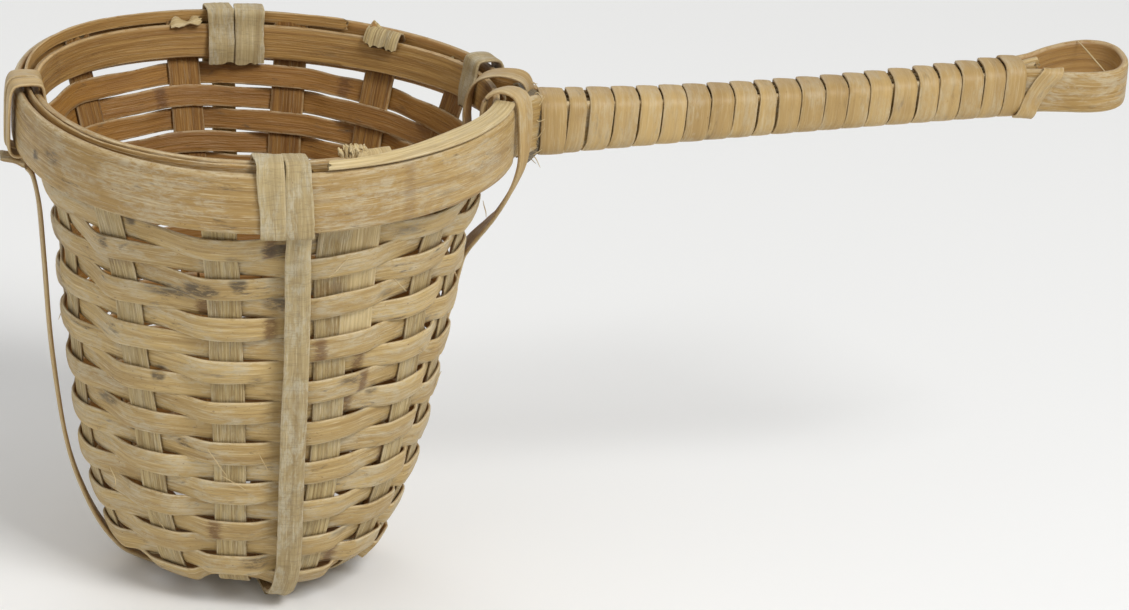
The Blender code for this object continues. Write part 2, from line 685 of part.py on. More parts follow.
def make_wrap_tail():
    """The wrap's end: up across the front leg of the loop, over its edge and down inside."""
    leg = -LOOP_LEG_Y
    route = [
        ((107.4, leg - 1.3, -2.9), (0, -1, 0)), ((108.2, leg - 1.6, -1.0), (0, -1, 0)),
        ((109.3, leg - 2.15, 1.2), (0, -1, 0)), ((110.0, leg - 2.5, 2.7), (0, -1, 0)),
        ((110.4, leg - 1.3, 4.3), (0, 0, 1)), ((110.8, leg + 0.2, 2.9), (0, 1, 0)),
        ((110.6, leg + 0.2, 1.2), (0, 1, 0)),
    ]
    sections = []
    for (x, y, z), out in route:
        sections.append(strip_section((x, y, handle_middle(x) + z), (1, -0.3, -0.55), out, 2.6, 0.35))
    sweep("wrap_tail", "smooth_strip", sections)


def make_tuft():
    """The crumpled scrap that lies on the inner hoop at the back."""
    route = ((32.6, 106.4, 69.6), (32.6, 104.2, 69.9), (32.5, 102.2, 69.8), (32.6, 100.2, 70.2))
    sections = []
    for radius, degrees, z in route:
        angle = math.radians(degrees)
        sections.append(strip_section(polar(radius, angle, z), polar(1, angle, 0.6),
                                      polar(-0.6, angle, 1), 1.4, 0.3))
    sweep("rim_tuft", "pale_cut", sections)


clear_scene()
make_outer_hoop()
make_inner_hoop()
make_rim_filler()
make_rim_cover()
make_stakes()
make_stake_overlay()
make_weavers()
make_front_back_strap()
make_side_strap()
make_bindings()
make_neck()
make_grip_wrap()
make_loop_strip()
make_core()
make_wrap_tail()
make_tuft()
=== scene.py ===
"""The looks of a woven bamboo tea strainer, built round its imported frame.

Every splint is a ribbon: rows of place, across, through, width and thickness along its path, in
millimetres, swept with a rounded section, uneven edges and raised fibres. Angles named in
constants are in degrees. +X runs along the handle and the rim's top is at RIM_Z.
"""

from math import atan2, copysign, cos, hypot, pi, radians, sin, sqrt, tan

import bpy
import numpy as np
from mathutils import Matrix, Vector


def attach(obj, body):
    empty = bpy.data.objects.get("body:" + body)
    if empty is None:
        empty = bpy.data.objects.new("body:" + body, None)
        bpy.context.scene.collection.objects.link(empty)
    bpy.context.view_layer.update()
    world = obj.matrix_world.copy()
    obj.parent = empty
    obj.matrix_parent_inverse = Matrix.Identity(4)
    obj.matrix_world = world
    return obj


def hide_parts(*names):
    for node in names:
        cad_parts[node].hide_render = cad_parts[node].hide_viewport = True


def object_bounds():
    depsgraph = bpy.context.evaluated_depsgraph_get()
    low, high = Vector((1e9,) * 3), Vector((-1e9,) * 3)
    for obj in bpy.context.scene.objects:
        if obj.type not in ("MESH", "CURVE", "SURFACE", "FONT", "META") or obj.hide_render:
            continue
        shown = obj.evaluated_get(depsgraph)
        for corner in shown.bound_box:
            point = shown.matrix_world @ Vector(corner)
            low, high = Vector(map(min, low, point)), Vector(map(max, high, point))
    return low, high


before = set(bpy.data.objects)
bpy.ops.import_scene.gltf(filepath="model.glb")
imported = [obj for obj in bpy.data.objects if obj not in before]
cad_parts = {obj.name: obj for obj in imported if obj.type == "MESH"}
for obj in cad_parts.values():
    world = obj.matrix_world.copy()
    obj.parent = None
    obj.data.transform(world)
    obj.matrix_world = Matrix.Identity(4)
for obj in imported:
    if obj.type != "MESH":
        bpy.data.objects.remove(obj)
cad_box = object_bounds()

MM = 0.001
UP = np.array((0.0, 0.0, 1.0))

# Driving sizes, the same as the CAD's apart from small trims at the weave's lower end
RIM_Z = 70.0
RIM_R = 35.0
RIM_WAVES = ((0.65, 1, 158), (0.5, 2, -146), (0.9, 3, 20))  # swell, lobes and where
RIM_SHRINK = 0.3
HOOP_T = 1.25
HOOP_H = 8.2
HOOP_GAP_R = 33.1
INNER_HOOP_T = 1.0
INNER_HOOP_INSET = 1.15
INNER_HOOP_H = 4.8
INNER_HOOP_Z = RIM_Z - 2.65
INNER_HOOP_TILT = 1.15
STAKE_ANGLES = (-138.5, -107.6, -79.5, -44.5, -23.5, 0, 26, 51.3, 76.4, 103.5, 133, 163, 193)
STAKE_LEAN = {0: 5.0, 1: 2.3, 2: 5.7}  # how far these turn towards the handle on the way down
LEAN_FROM_R, LEAN_TO_R = 31.0, 22.5
STAKE_COUNT = len(STAKE_ANGLES)
STAKE_T = 0.42
STAKE_TIP_Z = 68.9
STAKE_W_TOP = 4.8
STAKE_W_BASE = 4.2
BASE_Z = 2.9
BASE_PITCH = 4.9
CHECK_OFFSET = 0.3
FAN_START, FAN_END = 9.2, 14.5
WEAVE_T = 0.42
WEAVE_W = 3.5
CROSSING_W = 3.32  # a weaver is squeezed where it passes its neighbour
WEAVE_PITCH = 3.26
WEAVE_RISE = 1.5  # how much higher the rows run at the back of the rim
WEAVE_OFFSET = 0.56
WEAVE_TOP_Z = 61.2
WEAVE_END_MARGIN = 7.075
WEAVER_COUNT = 6
TOP_PLACE = -1
EDGE_CLEARANCE = 0.3
BASE_EDGE_CLEARANCE = 0.7
WALL = (
    (HOOP_GAP_R, STAKE_TIP_Z), (32.95, 66.0), (32.3, 63.2), (31.25, 60.3), (28.1, 50.0),
    (26.45, 39.5), (24.5, 29.0), (22.5, 18.6), (20.0, 10.8), (17.9, 5.8), (15.2, 3.35),
    (11.8, BASE_Z), (FAN_START, BASE_Z),
)
LONG_SPLINTS = (
    ("x", 1, 6, 11), ("x", 0, 5, 12), ("x", -1, 4, 0),
    ("y", -1, 1, 9), ("y", 0, 2, 8), ("y", 1, 3, 7),
)
EXTRA_STAKE = 10
BENT_STAKE = 7
DOUBLED_STAKE = 2  # the front stake with a second splint laid over its right half
OVERLAY_ANGLE, OVERLAY_W = -72.6, 4.9
STRAP_T = 0.6
STRAP_W = 3.4
STRAP_OFFSET = 1.75
FRONT_STRAP = ((58.5, -89.0), (50, -87.9), (35, -86.8), (20, -85.6), (12, -84.0), (8, -83.2))
BACK_STRAP_ANGLE = 93.0
STRAP_TOP_R = 33.15
GRIP_HALF_Y = 3.45
LEG_GAP = 0.55
LOOP_LEG_Y, LOOP_T = 2.35, 1.0
SWELL, SWELL_ANGLE = 0.085, 178.0  # the wall bulges on the side away from the handle
SWELL_START_Z, SWELL_FULL_Z, SWELL_END_Z = 2.9, 4.8, 60
ROUND_BELOW_Z, RIM_ABOVE_Z = 25, 60
RISE_FROM_Z, RISE_TO_Z = 20, 45
EDGE_SHARE = 0.3  # how far along its spiral a weaver is at a stake's edge, out of one place
ROW_JITTER = 0.09
BACK_NARROWING = 0.4
HANDLE_FROM_X, HANDLE_DROP, HANDLE_SLOPE = 40, 5.2, 0.0738
HANDLE_SAG, SAG_X, SAG_REACH = 0.5, 75, 34
GRIP_H, GRIP_FLARE, WAIST_X, FLARE_REACH = 6.85, 1.8, 77, 37
WRAP_INSET = 0.2  # from the wrap's outside to its middle
LOOP_TILT = tan(radians(8))


# --- Curves and noise ---

def smoothstep(low, high, value):
    t = np.clip((value - low) / (high - low), 0.0, 1.0)
    return t * t * (3 - 2 * t)


def unit(rows):
    return rows / np.maximum(np.linalg.norm(rows, axis=-1, keepdims=True), 1e-9)


def vec(*parts):
    return np.array(parts, float)


def polar(radius, angle, z=0.0):
    return vec(radius * cos(angle), radius * sin(angle), z)


def points_of(*places):
    return [np.array(place, float) for place in places]


def heading(path, i):
    """The way from the point before to the point after, at one point of a path."""
    return path[min(i + 1, len(path) - 1)] - path[max(i - 1, 0)]


def running_length(points):
    return np.concatenate(((0.0,), np.cumsum(np.linalg.norm(np.diff(points, axis=0), axis=1))))


def spline(rows, spacing, closed=False):
    """A Catmull-Rom curve through rows, sampled about every spacing of their first three."""
    rows = np.asarray(rows, float)
    if closed:
        ends = np.vstack((rows[-1:], rows, rows[:2]))
    else:
        ends = np.vstack((2 * rows[0] - rows[1], rows, 2 * rows[-1] - rows[-2]))
    pieces = []
    for before, start, end, after in zip(ends, ends[1:], ends[2:], ends[3:]):
        steps = max(1, round(float(np.linalg.norm((end - start)[:3])) / spacing))
        t = (np.arange(steps) / steps)[:, None]
        pieces.append(0.5 * (2 * start + (end - before) * t
                             + (2 * before - 5 * start + 4 * end - after) * t ** 2
                             + (3 * start - before - 3 * end + after) * t ** 3))
    if not closed:
        pieces.append(rows[-1:])
    return np.vstack(pieces)


def wander(along, step, seed):
    """Smooth noise from -1 to 1 along a strip, turning about every step."""
    along = np.asarray(along, float)
    rng = np.random.default_rng(seed)
    knots = rng.uniform(-1, 1, int(along.max() / step) + 3)
    place = along / step
    i = np.floor(place).astype(int)
    t = place - i
    t = t * t * (3 - 2 * t)
    return knots[i] * (1 - t) + knots[i + 1] * t


# --- Ribbons ---

def strip_ring(across_points=9, rounding=0.07, crown=0.0, ridge=(0, 0, 1)):
    """A section as points of (across, depth, skin, edge), from one edge over the skin and back.

    Across runs from -1 to 1 and depth from -1 on the wood side to 1 on the skin side. A ridge is
    where it stands, how much it rises and how far it spreads.
    """
    inner = 1 - rounding
    where, rise, reach = ridge
    points = [(-1, 0.35, 1, 1)]
    for s in np.linspace(-inner, inner, across_points):
        top = 1 + crown * (1 - s * s) + rise * max(0.0, 1 - abs(s - where) / reach)
        points.append((s, top, 1, 0) if abs(s) < inner - 1e-6 else (s, 0.86, 1, 0.75))
    points += [(1, 0.35, 1, 1), (1, -0.35, 0, 1)]
    for s in np.linspace(inner, -inner, max(5, across_points - 2)):
        points.append((s, -1, 0, 0) if abs(s) < inner - 1e-6 else (s, -0.86, 0, 0.75))
    points.append((-1, -0.35, 0, 1))
    return np.array(points)


FLAT_RING = strip_ring()


def ribbon(rows, seed, spacing=0.55, ring=FLAT_RING, closed=False, wavy=0.05, ridges=0.02,
           twist=0.0, cup=0.0, fray=(0.1, 0.1), stain=None):
    """One strip as arrays of vertices, faces and what the material reads at each vertex."""
    rows = spline(rows, spacing, closed)
    count, size = len(rows), len(ring)
    place = rows[:, :3]
    if closed:
        along = unit(np.roll(place, -1, 0) - np.roll(place, 1, 0))
    else:
        along = unit(np.gradient(place, axis=0))
    across = rows[:, 3:6]
    across = unit(across - along * np.sum(across * along, 1, keepdims=True))
    through = np.cross(along, across)
    through *= np.sign(np.sum(through * rows[:, 6:9], 1, keepdims=True) + 1e-12)
    length = running_length(place)
    if twist:
        turn = np.radians(twist) * wander(length, 9.0, seed + 11)[:, None]
        across, through = (across * np.cos(turn) + through * np.sin(turn),
                           through * np.cos(turn) - across * np.sin(turn))
    width, thick = rows[:, 9], rows[:, 10]
    s, d, skin, edge = ring.T
    fade = np.ones(count)
    if closed:
        fade = smoothstep(0, 6, np.minimum(length, length[-1] - length))
    half = width[:, None] / 2
    reach = s * half
    for side, key in ((-1, seed + 1), (1, seed + 3)):
        wave = (wander(length, 5.0, key) + 0.35 * wander(length, 1.1, key + 1)) * wavy * fade
        reach = reach + side * np.clip(side * s, 0, 1) ** 4 * wave[:, None] * half
    raised = np.zeros((count, size))
    for j in range(size):
        if edge[j] < 0.5:
            raised[:, j] = wander(length, 7.0, seed + 20 + j) * ridges * fade
    depth = d * thick[:, None] / 2 - cup * s ** 2 + np.sign(d) * raised
    verts = (place[:, None, :] + across[:, None, :] * reach[..., None]
             + through[:, None, :] * depth[..., None])
    if not closed:
        rng = np.random.default_rng(seed + 5)
        for end, sign, torn in ((0, -1, fray[0]), (-1, 1, fray[1])):
            knots = rng.uniform(-1, 1, 12) * torn
            push = np.interp(s, np.linspace(-1, 1, 12), knots)
            verts[end] += along[end] * sign * push[:, None]
    faces = ring_faces(count, size, closed)
    grain = np.empty((count, size, 3))
    grain[..., 0] = length[:, None] + 211.0 * ((seed * 0.618) % 1)
    grain[..., 1] = reach + 9.0 * (1 - skin)
    grain[..., 2] = (seed * 3.7) % 97
    flat = verts.reshape(-1, 3)
    on_skin = np.tile(skin, count)
    # The mask holds real blotches and scuffs, and painted shade where a piece passes a mask of
    # ones.
    dark = stain(flat) * (on_skin > 0.5) if stain else np.zeros(count * size)
    return flat, faces, {"grain": grain.reshape(-1, 3), "skin": on_skin,
                         "edge": np.tile(edge, count), "stain": dark}


def ring_faces(count, size, closed):
    faces = []
    for i in range(count if closed else count - 1):
        here, there = i * size, (i + 1) % count * size
        for j in range(size):
            k = (j + 1) % size
            faces.append((here + j, there + j, there + k, here + k))
    if not closed:
        last = (count - 1) * size
        faces.append(tuple(range(size)))
        faces.append(tuple(reversed(range(last, last + size))))
    return faces


def signed_volume(verts, faces):
    quads = np.array([f for f in faces if len(f) == 4])
    a, b, c, d = (verts[quads[:, i]] for i in range(4))
    return float(np.sum(a * np.cross(b, c)) + np.sum(a * np.cross(c, d)))


def add(name, data):
    made = bpy.data.objects.new(name, data)
    bpy.context.scene.collection.objects.link(made)
    return made


def piece(name, slot, nodes, ribbons):
    """One object from one or more ribbons, riding on the part and standing for its CAD nodes."""
    verts, faces, start = [], [], 0
    for points, quads, _ in ribbons:
        if signed_volume(points, quads) < 0:
            quads = [tuple(reversed(f)) for f in quads]
        verts.append(points * MM)
        faces.extend(tuple(i + start for i in f) for f in quads)
        start += len(points)
    mesh = bpy.data.meshes.new(name)
    mesh.from_pydata(np.vstack(verts).tolist(), [], faces)
    for key, kind, field in (("grain", "FLOAT_VECTOR", "vector"), ("skin", "FLOAT", "value"),
                             ("edge", "FLOAT", "value"), ("stain", "FLOAT", "value")):
        values = np.concatenate([data[key] for _, _, data in ribbons]).astype(np.float32)
        mesh.attributes.new(key, kind, "POINT").data.foreach_set(field, values.reshape(-1))
    mesh.shade_smooth()
    mesh.set_sharp_from_angle(angle=radians(50))
    mesh.materials.append(BAMBOO[slot])
    made = add(name, mesh)
    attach(made, "root")
    if nodes:
        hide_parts(*nodes)


def single(name, slot, node, rows, seed, **settings):
    """One object of one ribbon, standing for one CAD node."""
    piece(name, slot, [node], [ribbon(rows, seed, **settings)])


def row(place, across, through, width, thick):
    return np.concatenate((place, across, through, (width, thick)))


# --- Bamboo ---

class Nodes:
    """Short calls for building the nodes of a material on a strip."""

    def __init__(self, tree):
        self.tree = tree
        self.grain = self.attribute("grain", "Vector")

    def feed(self, socket, value):
        if isinstance(value, bpy.types.NodeSocket):
            self.tree.links.new(value, socket)
        else:
            socket.default_value = value

    def new(self, kind, inputs=(), **settings):
        made = self.tree.nodes.new("ShaderNode" + kind)
        for key, value in settings.items():
            setattr(made, key, value)
        for key, value in dict(inputs).items():
            self.feed(made.inputs[key], value)
        return made

    def attribute(self, name, output="Fac"):
        return self.new("Attribute", attribute_name=name).outputs[output]

    def noise(self, along, across, shift, detail=3.0, rough=0.6, distortion=0.0):
        """Noise in the strip's own coordinates, as fine along and across it as said."""
        place = self.new("Mapping", {"Vector": self.grain, "Scale": (along, across, 1.0),
                                     "Location": (shift, shift, 0)}).outputs["Vector"]
        return self.new("TexNoise", {"Vector": place, "Scale": 1.0, "Detail": detail,
                                     "Roughness": rough, "Distortion": distortion}).outputs["Fac"]

    def ramp(self, value, low, high, out_low=0.0, out_high=1.0):
        return self.new("MapRange", {"Value": value, "From Min": low, "From Max": high,
                                     "To Min": out_low, "To Max": out_high},
                        interpolation_type="SMOOTHSTEP").outputs["Result"]

    def mix(self, share, first, second):
        made = self.new("Mix", data_type="RGBA")
        colours = [s for s in made.inputs if s.type == "RGBA"]
        factor = [s for s in made.inputs if s.name == "Factor" and s.type == "VALUE"]
        for socket, value in zip(factor + colours, (share, first, second)):
            self.feed(socket, value)
        return [s for s in made.outputs if s.type == "RGBA"][0]

    def math(self, kind, *values):
        made = self.new("Math", operation=kind)
        for socket, value in zip(made.inputs, values):
            self.feed(socket, value)
        return made.outputs[0]

    def times(self, product, *values):
        for value in values:
            product = self.math("MULTIPLY", product, value)
        return product

    def off_centre(self, value):
        """How far a value is from a half."""
        return self.math("ABSOLUTE", self.math("SUBTRACT", value, 0.5))


def linear(*screen):
    """A colour given as the 0 to 255 numbers of a screen, for a shader."""
    shares = [v / 255 for v in screen]
    return (*(v / 12.92 if v <= 0.04045 else ((v + 0.055) / 1.055) ** 2.4 for v in shares), 1.0)


PALE = linear(226, 211, 174)
GREY = linear(196, 188, 164)
BROWN = linear(98, 62, 30)
# Dark brown for smudges and stains, also used for painted shade in creases and over the neck
# sleeve.
SOOT_AND_SHADE = linear(80, 68, 52)
DARKER_SKIN = (0.72, 0.66, 0.56)
DARKER_WOOD = (0.7, 0.62, 0.5)
JOINT_SPACING = 83  # millimetres between the dark rings of a splint


def bamboo(slot, skin, wood, streak, fineness, mottle, specks, joints, roughness, bump=0.35,
           pale_edge_and_highlight=0.3, crease_shade=0.0):
    """Split bamboo: long fibres, scuffed grey skin, brown specks and the dark rings of joints."""
    made = bpy.data.materials.new(slot + "_look")
    made.use_nodes = True
    shader = made.node_tree.nodes["Principled BSDF"]
    n = Nodes(made.node_tree)
    skin_side, edge, stained = (n.attribute(name) for name in ("skin", "edge", "stain"))

    fibre = n.noise(0.05, fineness, 0.0)
    broad = n.noise(0.045, 0.9, 5.0)
    fine = n.noise(0.25, fineness * 2.6, 9.0, 2.0)
    cloud = n.noise(0.11, 0.3, 17.0, 5.0, 0.68, 0.6)
    scuff = n.noise(0.6, 1.9, 29.0, 6.0, 0.75, 0.4)
    dots = n.noise(1.7, 3.4, 41.0, 3.0, 0.7)
    smudge = n.noise(0.15, 0.55, 53.0, 5.0, 0.7, 0.8)
    tone = n.noise(0.02, 0.05, 71.0, 1.0, 0.5)
    folds = n.noise(1.3, 0.12, 83.0, 3.0, 0.6, 0.7)

    place = n.new("SeparateXYZ", {"Vector": n.grain}).outputs
    bent = n.math("ADD", place[0], n.times(scuff, 3.0))
    ring = n.off_centre(n.math("FRACT", n.times(bent, 1 / JOINT_SPACING)))
    # Stain patches: real blotches and scuffs, and painted shade over the whole neck sleeve.
    patch = n.times(stained, n.ramp(scuff, 0.3, 0.6, 0.3, 1.0))

    shade = n.mix(skin_side, linear(*(v * k for v, k in zip(wood, DARKER_WOOD))),
                  linear(*(v * k for v, k in zip(skin, DARKER_SKIN))))
    colour = n.mix(skin_side, linear(*wood), linear(*skin))
    for share, layer in (
            (n.times(n.ramp(tone, 0.35, 0.65), 0.35), shade),
            (n.times(n.ramp(fibre, 0.36, 0.66), streak), shade),
            (n.times(n.ramp(broad, 0.48, 0.72), streak * 1.1), shade),
            (n.times(n.ramp(fine, 0.52, 0.72), n.ramp(skin_side, 0.0, 1.0, 0.3, 1.0),
                     streak * 0.9), PALE),
            (n.times(n.ramp(cloud, 0.45, 0.58), n.ramp(scuff, 0.36, 0.6), skin_side, mottle), GREY),
            (n.times(n.ramp(smudge, 0.56, 0.72), n.ramp(scuff, 0.4, 0.62), specks), SOOT_AND_SHADE),
            (n.times(n.ramp(dots, 0.66, 0.73), specks), BROWN),
            # Thin dark lines where the strip is creased: painted shade in its folds.
            (n.times(n.ramp(n.off_centre(folds), 0.035, 0.0), crease_shade), SOOT_AND_SHADE),
            (n.times(n.ramp(ring, 0.016, 0.004), n.ramp(scuff, 0.3, 0.5), joints), BROWN),
            (n.ramp(patch, 0.12, 0.75, 0.0, 0.85), SOOT_AND_SHADE),
            # Pale along the edges: paler cut wood, and a painted highlight where the edges catch
            # the light.
            (n.times(n.ramp(edge, 0.3, 0.95), n.ramp(scuff, 0.35, 0.55), pale_edge_and_highlight), PALE)):
        colour = n.mix(share, colour, layer)

    relief = n.math("ADD", fibre, n.times(fine, 0.5))
    relief = n.math("ADD", relief, n.times(scuff, 0.6))
    height = n.new("Bump", {"Height": relief, "Strength": bump, "Distance": 0.0003})
    for name, value in (("Base Color", colour), ("Normal", height.outputs["Normal"]),
                        ("Roughness", n.ramp(scuff, 0.3, 0.7, roughness - 0.08, roughness + 0.16)),
                        ("Specular IOR Level", 0.35)):
        n.feed(shader.inputs[name], value)
    return made


# Each look's skin and wood colours, then streaks and how fine they are, grey mottle, dark specks,
# joints, roughness, bump, pale edges with a painted highlight, and painted shade in creases
LOOKS = {
    "hoop_skin": ((186, 155, 97), (172, 130, 71), 0.45, 2.2, 0.45, 0.7, 0.25, 0.42, 0.5),
    "inner_wood": ((186, 150, 89), (190, 150, 87), 0.6, 3.0, 0.3, 0.4, 0.15, 0.55, 0.5),
    "stake_wood": ((200, 178, 127), (164, 120, 59), 0.8, 4.0, 0.3, 0.4, 0.3, 0.6, 0.8),
    "weaver_skin": ((198, 170, 113), (166, 120, 57), 0.42, 2.2, 0.5, 0.9, 0.7, 0.46, 0.6, 0.45),
    "pale_cut": ((216, 194, 143), (196, 166, 109), 0.55, 3.6, 0.2, 0.2, 0.0, 0.55, 0.5),
    "grey_strip": ((188, 168, 123), (164, 136, 89), 0.4, 2.6, 0.6, 0.45, 0.1, 0.5, 0.6, 0.3, 0.2),
    "smooth_strip": ((194, 164, 109), (170, 132, 75), 0.3, 2.6, 0.35, 0.3, 0.1, 0.45),
    "wrap_strip": ((190, 160, 105), (166, 130, 77), 0.2, 2.2, 0.3, 0.45, 0.1, 0.42),
    "loop_skin": ((182, 150, 91), (172, 134, 77), 0.4, 2.6, 0.45, 0.3, 0.0, 0.42),
}
BAMBOO = {slot: bamboo(slot, *look) for slot, look in LOOKS.items()}


# --- The basket's shape ---

def rim_shape(angle):
    """The rim goes out of round: wide at the back left, straight-sided towards the handle."""
    radius = RIM_R - RIM_SHRINK
    for swell, lobes, where in RIM_WAVES:
        radius += swell * np.cos(lobes * angle - radians(where))
    return radius / RIM_R


def out_of_round(angle, z):
    """The wall follows the rim's outline near the top and swells on one side lower down."""
    rim = (rim_shape(angle) - 1) * smoothstep(ROUND_BELOW_Z, RIM_ABOVE_Z, z)
    side = max(0.0, cos(angle - radians(SWELL_ANGLE))) ** 4
    swell = SWELL * side * smoothstep(SWELL_START_Z, SWELL_FULL_Z, z)
    return 1 + rim + swell * (1 - smoothstep(SWELL_FULL_Z, SWELL_END_Z, z))


WALL_CURVE = spline([(r, 0, z) for r, z in WALL], 0.4)
WALL_LENGTH = running_length(WALL_CURVE)
WALL_TOTAL = WALL_LENGTH[-1]
SLOPE_REACH = 0.3  # how far either side of a point the wall's slope is taken


def wall_at(length):
    """Radius, height and the (radial, upward) parts of the way down, at a length from the rim."""
    near = min(length + SLOPE_REACH, WALL_TOTAL)
    lengths = (length, near, max(near - 2 * SLOPE_REACH, 0.0))
    radius, height = (np.interp(lengths, WALL_LENGTH, WALL_CURVE[:, k]) for k in (0, 2))
    radial, upward = radius[1] - radius[2], height[1] - height[2]
    size = hypot(radial, upward)
    return radius[0], height[0], radial / size, upward / size


def length_at_height(z):
    return float(np.interp(-z, -WALL_CURVE[:, 2], WALL_LENGTH))


def base_line(stake):
    """The direction and sideways offset of the straight part of a stake in the check base."""
    for axis, lane, first, second in LONG_SPLINTS:
        if stake in (first, second):
            offset = lane * BASE_PITCH
            if axis == "x":
                return vec(1.0 if stake == first else -1.0, 0, 0), vec(0, offset, 0.0)
            return vec(0, -1.0 if stake == first else 1.0, 0), vec(offset, 0, 0.0)
    return None


def stake_angle(stake, radius):
    """A stake is radial on the wall and turns into its lane of the check base under it."""
    lean = STAKE_LEAN.get(stake, 0.0) * (1 - smoothstep(LEAN_TO_R, LEAN_FROM_R, radius))
    target = radians(STAKE_ANGLES[stake] + lean)
    line = base_line(stake)
    if line is None:
        return target
    direction, offset = line
    reach = sqrt(max(0.0, radius ** 2 - float(offset @ offset)))
    spot = direction * reach + offset
    lane_angle = atan2(spot[1], spot[0])
    turn = (target - lane_angle + pi) % (2 * pi) - pi
    return lane_angle + turn * smoothstep(FAN_START, FAN_END, radius)


def stake_frame(stake, length):
    """Middle, width direction, outward normal and width of a stake at a length from the rim."""
    radius, z, radial, upward = wall_at(length)
    angle = stake_angle(stake, radius)
    middle = polar(radius * out_of_round(angle, z), angle, z)
    ahead, behind = wall_at(min(length + 0.4, WALL_TOTAL)), wall_at(max(length - 0.4, 0.0))
    along = unit(polar(ahead[0], stake_angle(stake, ahead[0]), ahead[1])
                 - polar(behind[0], stake_angle(stake, behind[0]), behind[1]))
    normal = unit(polar(1, angle) * -upward + UP * radial)
    across = unit(np.cross(normal, along))
    width = STAKE_W_BASE + (STAKE_W_TOP - STAKE_W_BASE) * min(1.0, max(0.0, (z - 5) / 60))
    return middle, across, normal, width


def inner_hoop_middle(angle):
    return INNER_HOOP_Z - INNER_HOOP_TILT * sin(angle)


def inner_hoop_point(angle, z, inset=INNER_HOOP_INSET):
    """A point a little inside the stakes, at the height z."""
    radius = wall_at(length_at_height(min(z, STAKE_TIP_Z)))[0]
    return polar((radius - inset) * rim_shape(angle), angle, z)


# Blotches on the basket's outside: angle, height, half width and half height, darkness
BLOTCHES = (
    (-132, 60, 1.2, 1.6, 0.9), (-113, 51.2, 3.2, 1.4, 0.8), (-122, 50, 5, 1.3, 0.7),
    (-103, 52.8, 1.4, 1.6, 0.9), (-104, 56.5, 2.6, 0.9, 0.5), (-93.5, 58, 2.6, 1.5, 0.8),
    (-93, 49.5, 2.4, 1.4, 0.7), (-98, 38, 1.6, 1, 0.5), (-110, 38.5, 2.4, 0.7, 0.45),
    (-127, 37, 1.2, 1.5, 0.8), (-141, 56, 1.2, 2.2, 0.7), (-81.5, 59, 1.6, 2, 0.8),
    (-57, 58.5, 3.4, 1, 0.5), (-45, 60.5, 2.5, 0.8, 0.5), (-60, 49, 2.4, 0.9, 0.5),
    (-69, 37, 2.8, 1, 0.6), (-60, 34.5, 1.4, 1.3, 0.6), (-66, 31.5, 3, 0.6, 0.5),
    (-36, 42, 2, 1.2, 0.5), (-107, 22, 3.2, 1.2, 0.3), (-96, 8, 2.4, 1.6, 0.7),
    (-62, 12, 2.6, 1, 0.5), (20, 40, 4, 1.2, 0.6), (60, 52, 3, 1.2, 0.6),
    (95, 33, 3.4, 1.2, 0.7), (120, 48, 4, 1.3, 0.6), (150, 28, 3, 1.4, 0.6),
    (175, 44, 3.4, 1.2, 0.7), (75, 20, 3, 1.2, 0.5), (210, 30, 3, 1.2, 0.6),
    (5, 24, 3, 1.2, 0.5),
)


def darkness(points, blotches, across, soft, firm):
    """How dark the listed blotches are at each point, from 0 to 1.

    A blotch is angle, height, half width, half height and strength, and across scales its width.
    """
    angle = np.degrees(np.arctan2(points[:, 1], points[:, 0]))
    dark = np.zeros(len(points))
    for where, z, half_width, half_height, strength in blotches:
        turn = (angle - where + 180) % 360 - 180
        away = np.sqrt((turn * across / half_width) ** 2 + ((points[:, 2] - z) / half_height) ** 2)
        dark = np.maximum(dark, strength * smoothstep(soft, firm, away))
    return dark


def wall_stain(points):
    return darkness(points, BLOTCHES, np.radians(np.hypot(points[:, 0], points[:, 1])), 1.35, 0.35)


# --- Stakes and weave ---

def bent_tip(angle, top, width, thick):
    """Rows of a tip that comes up between the hoops and leans in over the inner one."""
    side = polar(1, angle + pi / 2)
    shape = rim_shape(angle)
    return [row(polar((HOOP_GAP_R - inward) * shape, angle, top + rise), side,
                polar(out, angle, up), width, thick)
            for inward, rise, out, up in ((2.7, -1.9, -1, 0.3), (2.1, -0.6, -0.6, 0.8),
                                          (1.2, 0.2, 0.2, 1), (0.3, -0.4, 0.9, 0.4))]


def stake_half(stake):
    """Rows of one stake, from its tip at the rim to the edge of the check base."""
    rows = []
    if stake == BENT_STAKE:
        rows = bent_tip(radians(STAKE_ANGLES[stake] - 1.5), 70.1, STAKE_W_TOP + 0.8, STAKE_T)
    edge = length_at_height(14)
    lengths = list(np.linspace(0, edge, 14)) + list(np.linspace(edge, WALL_TOTAL, 12))[1:]
    for length in lengths:
        middle, across, normal, width = stake_frame(stake, length)
        rows.append(row(middle, across, normal, width, STAKE_T))
    return rows


def base_crossings(axis, lane, first):
    """Rows of a long splint across the check base, going over one lane and under the next."""
    direction, offset = base_line(first)
    across = np.cross(-UP, -direction)
    rows = []
    for crossing in (-1, 0, 1):
        over = 1 if (lane + crossing) % 2 == 0 else -1
        if axis == "y":
            over = -over
        for edge in (-1, 1):
            along = -direction * (crossing * BASE_PITCH + edge * (STAKE_W_BASE / 2 - 0.2))
            middle = offset + along + UP * (BASE_Z + over * CHECK_OFFSET)
            rows.append(row(middle, across, -UP, STAKE_W_BASE, STAKE_T))
    return rows


def turned(one):
    """The same row seen by a strip that runs the other way."""
    back = one.copy()
    back[3:6] *= -1
    return back


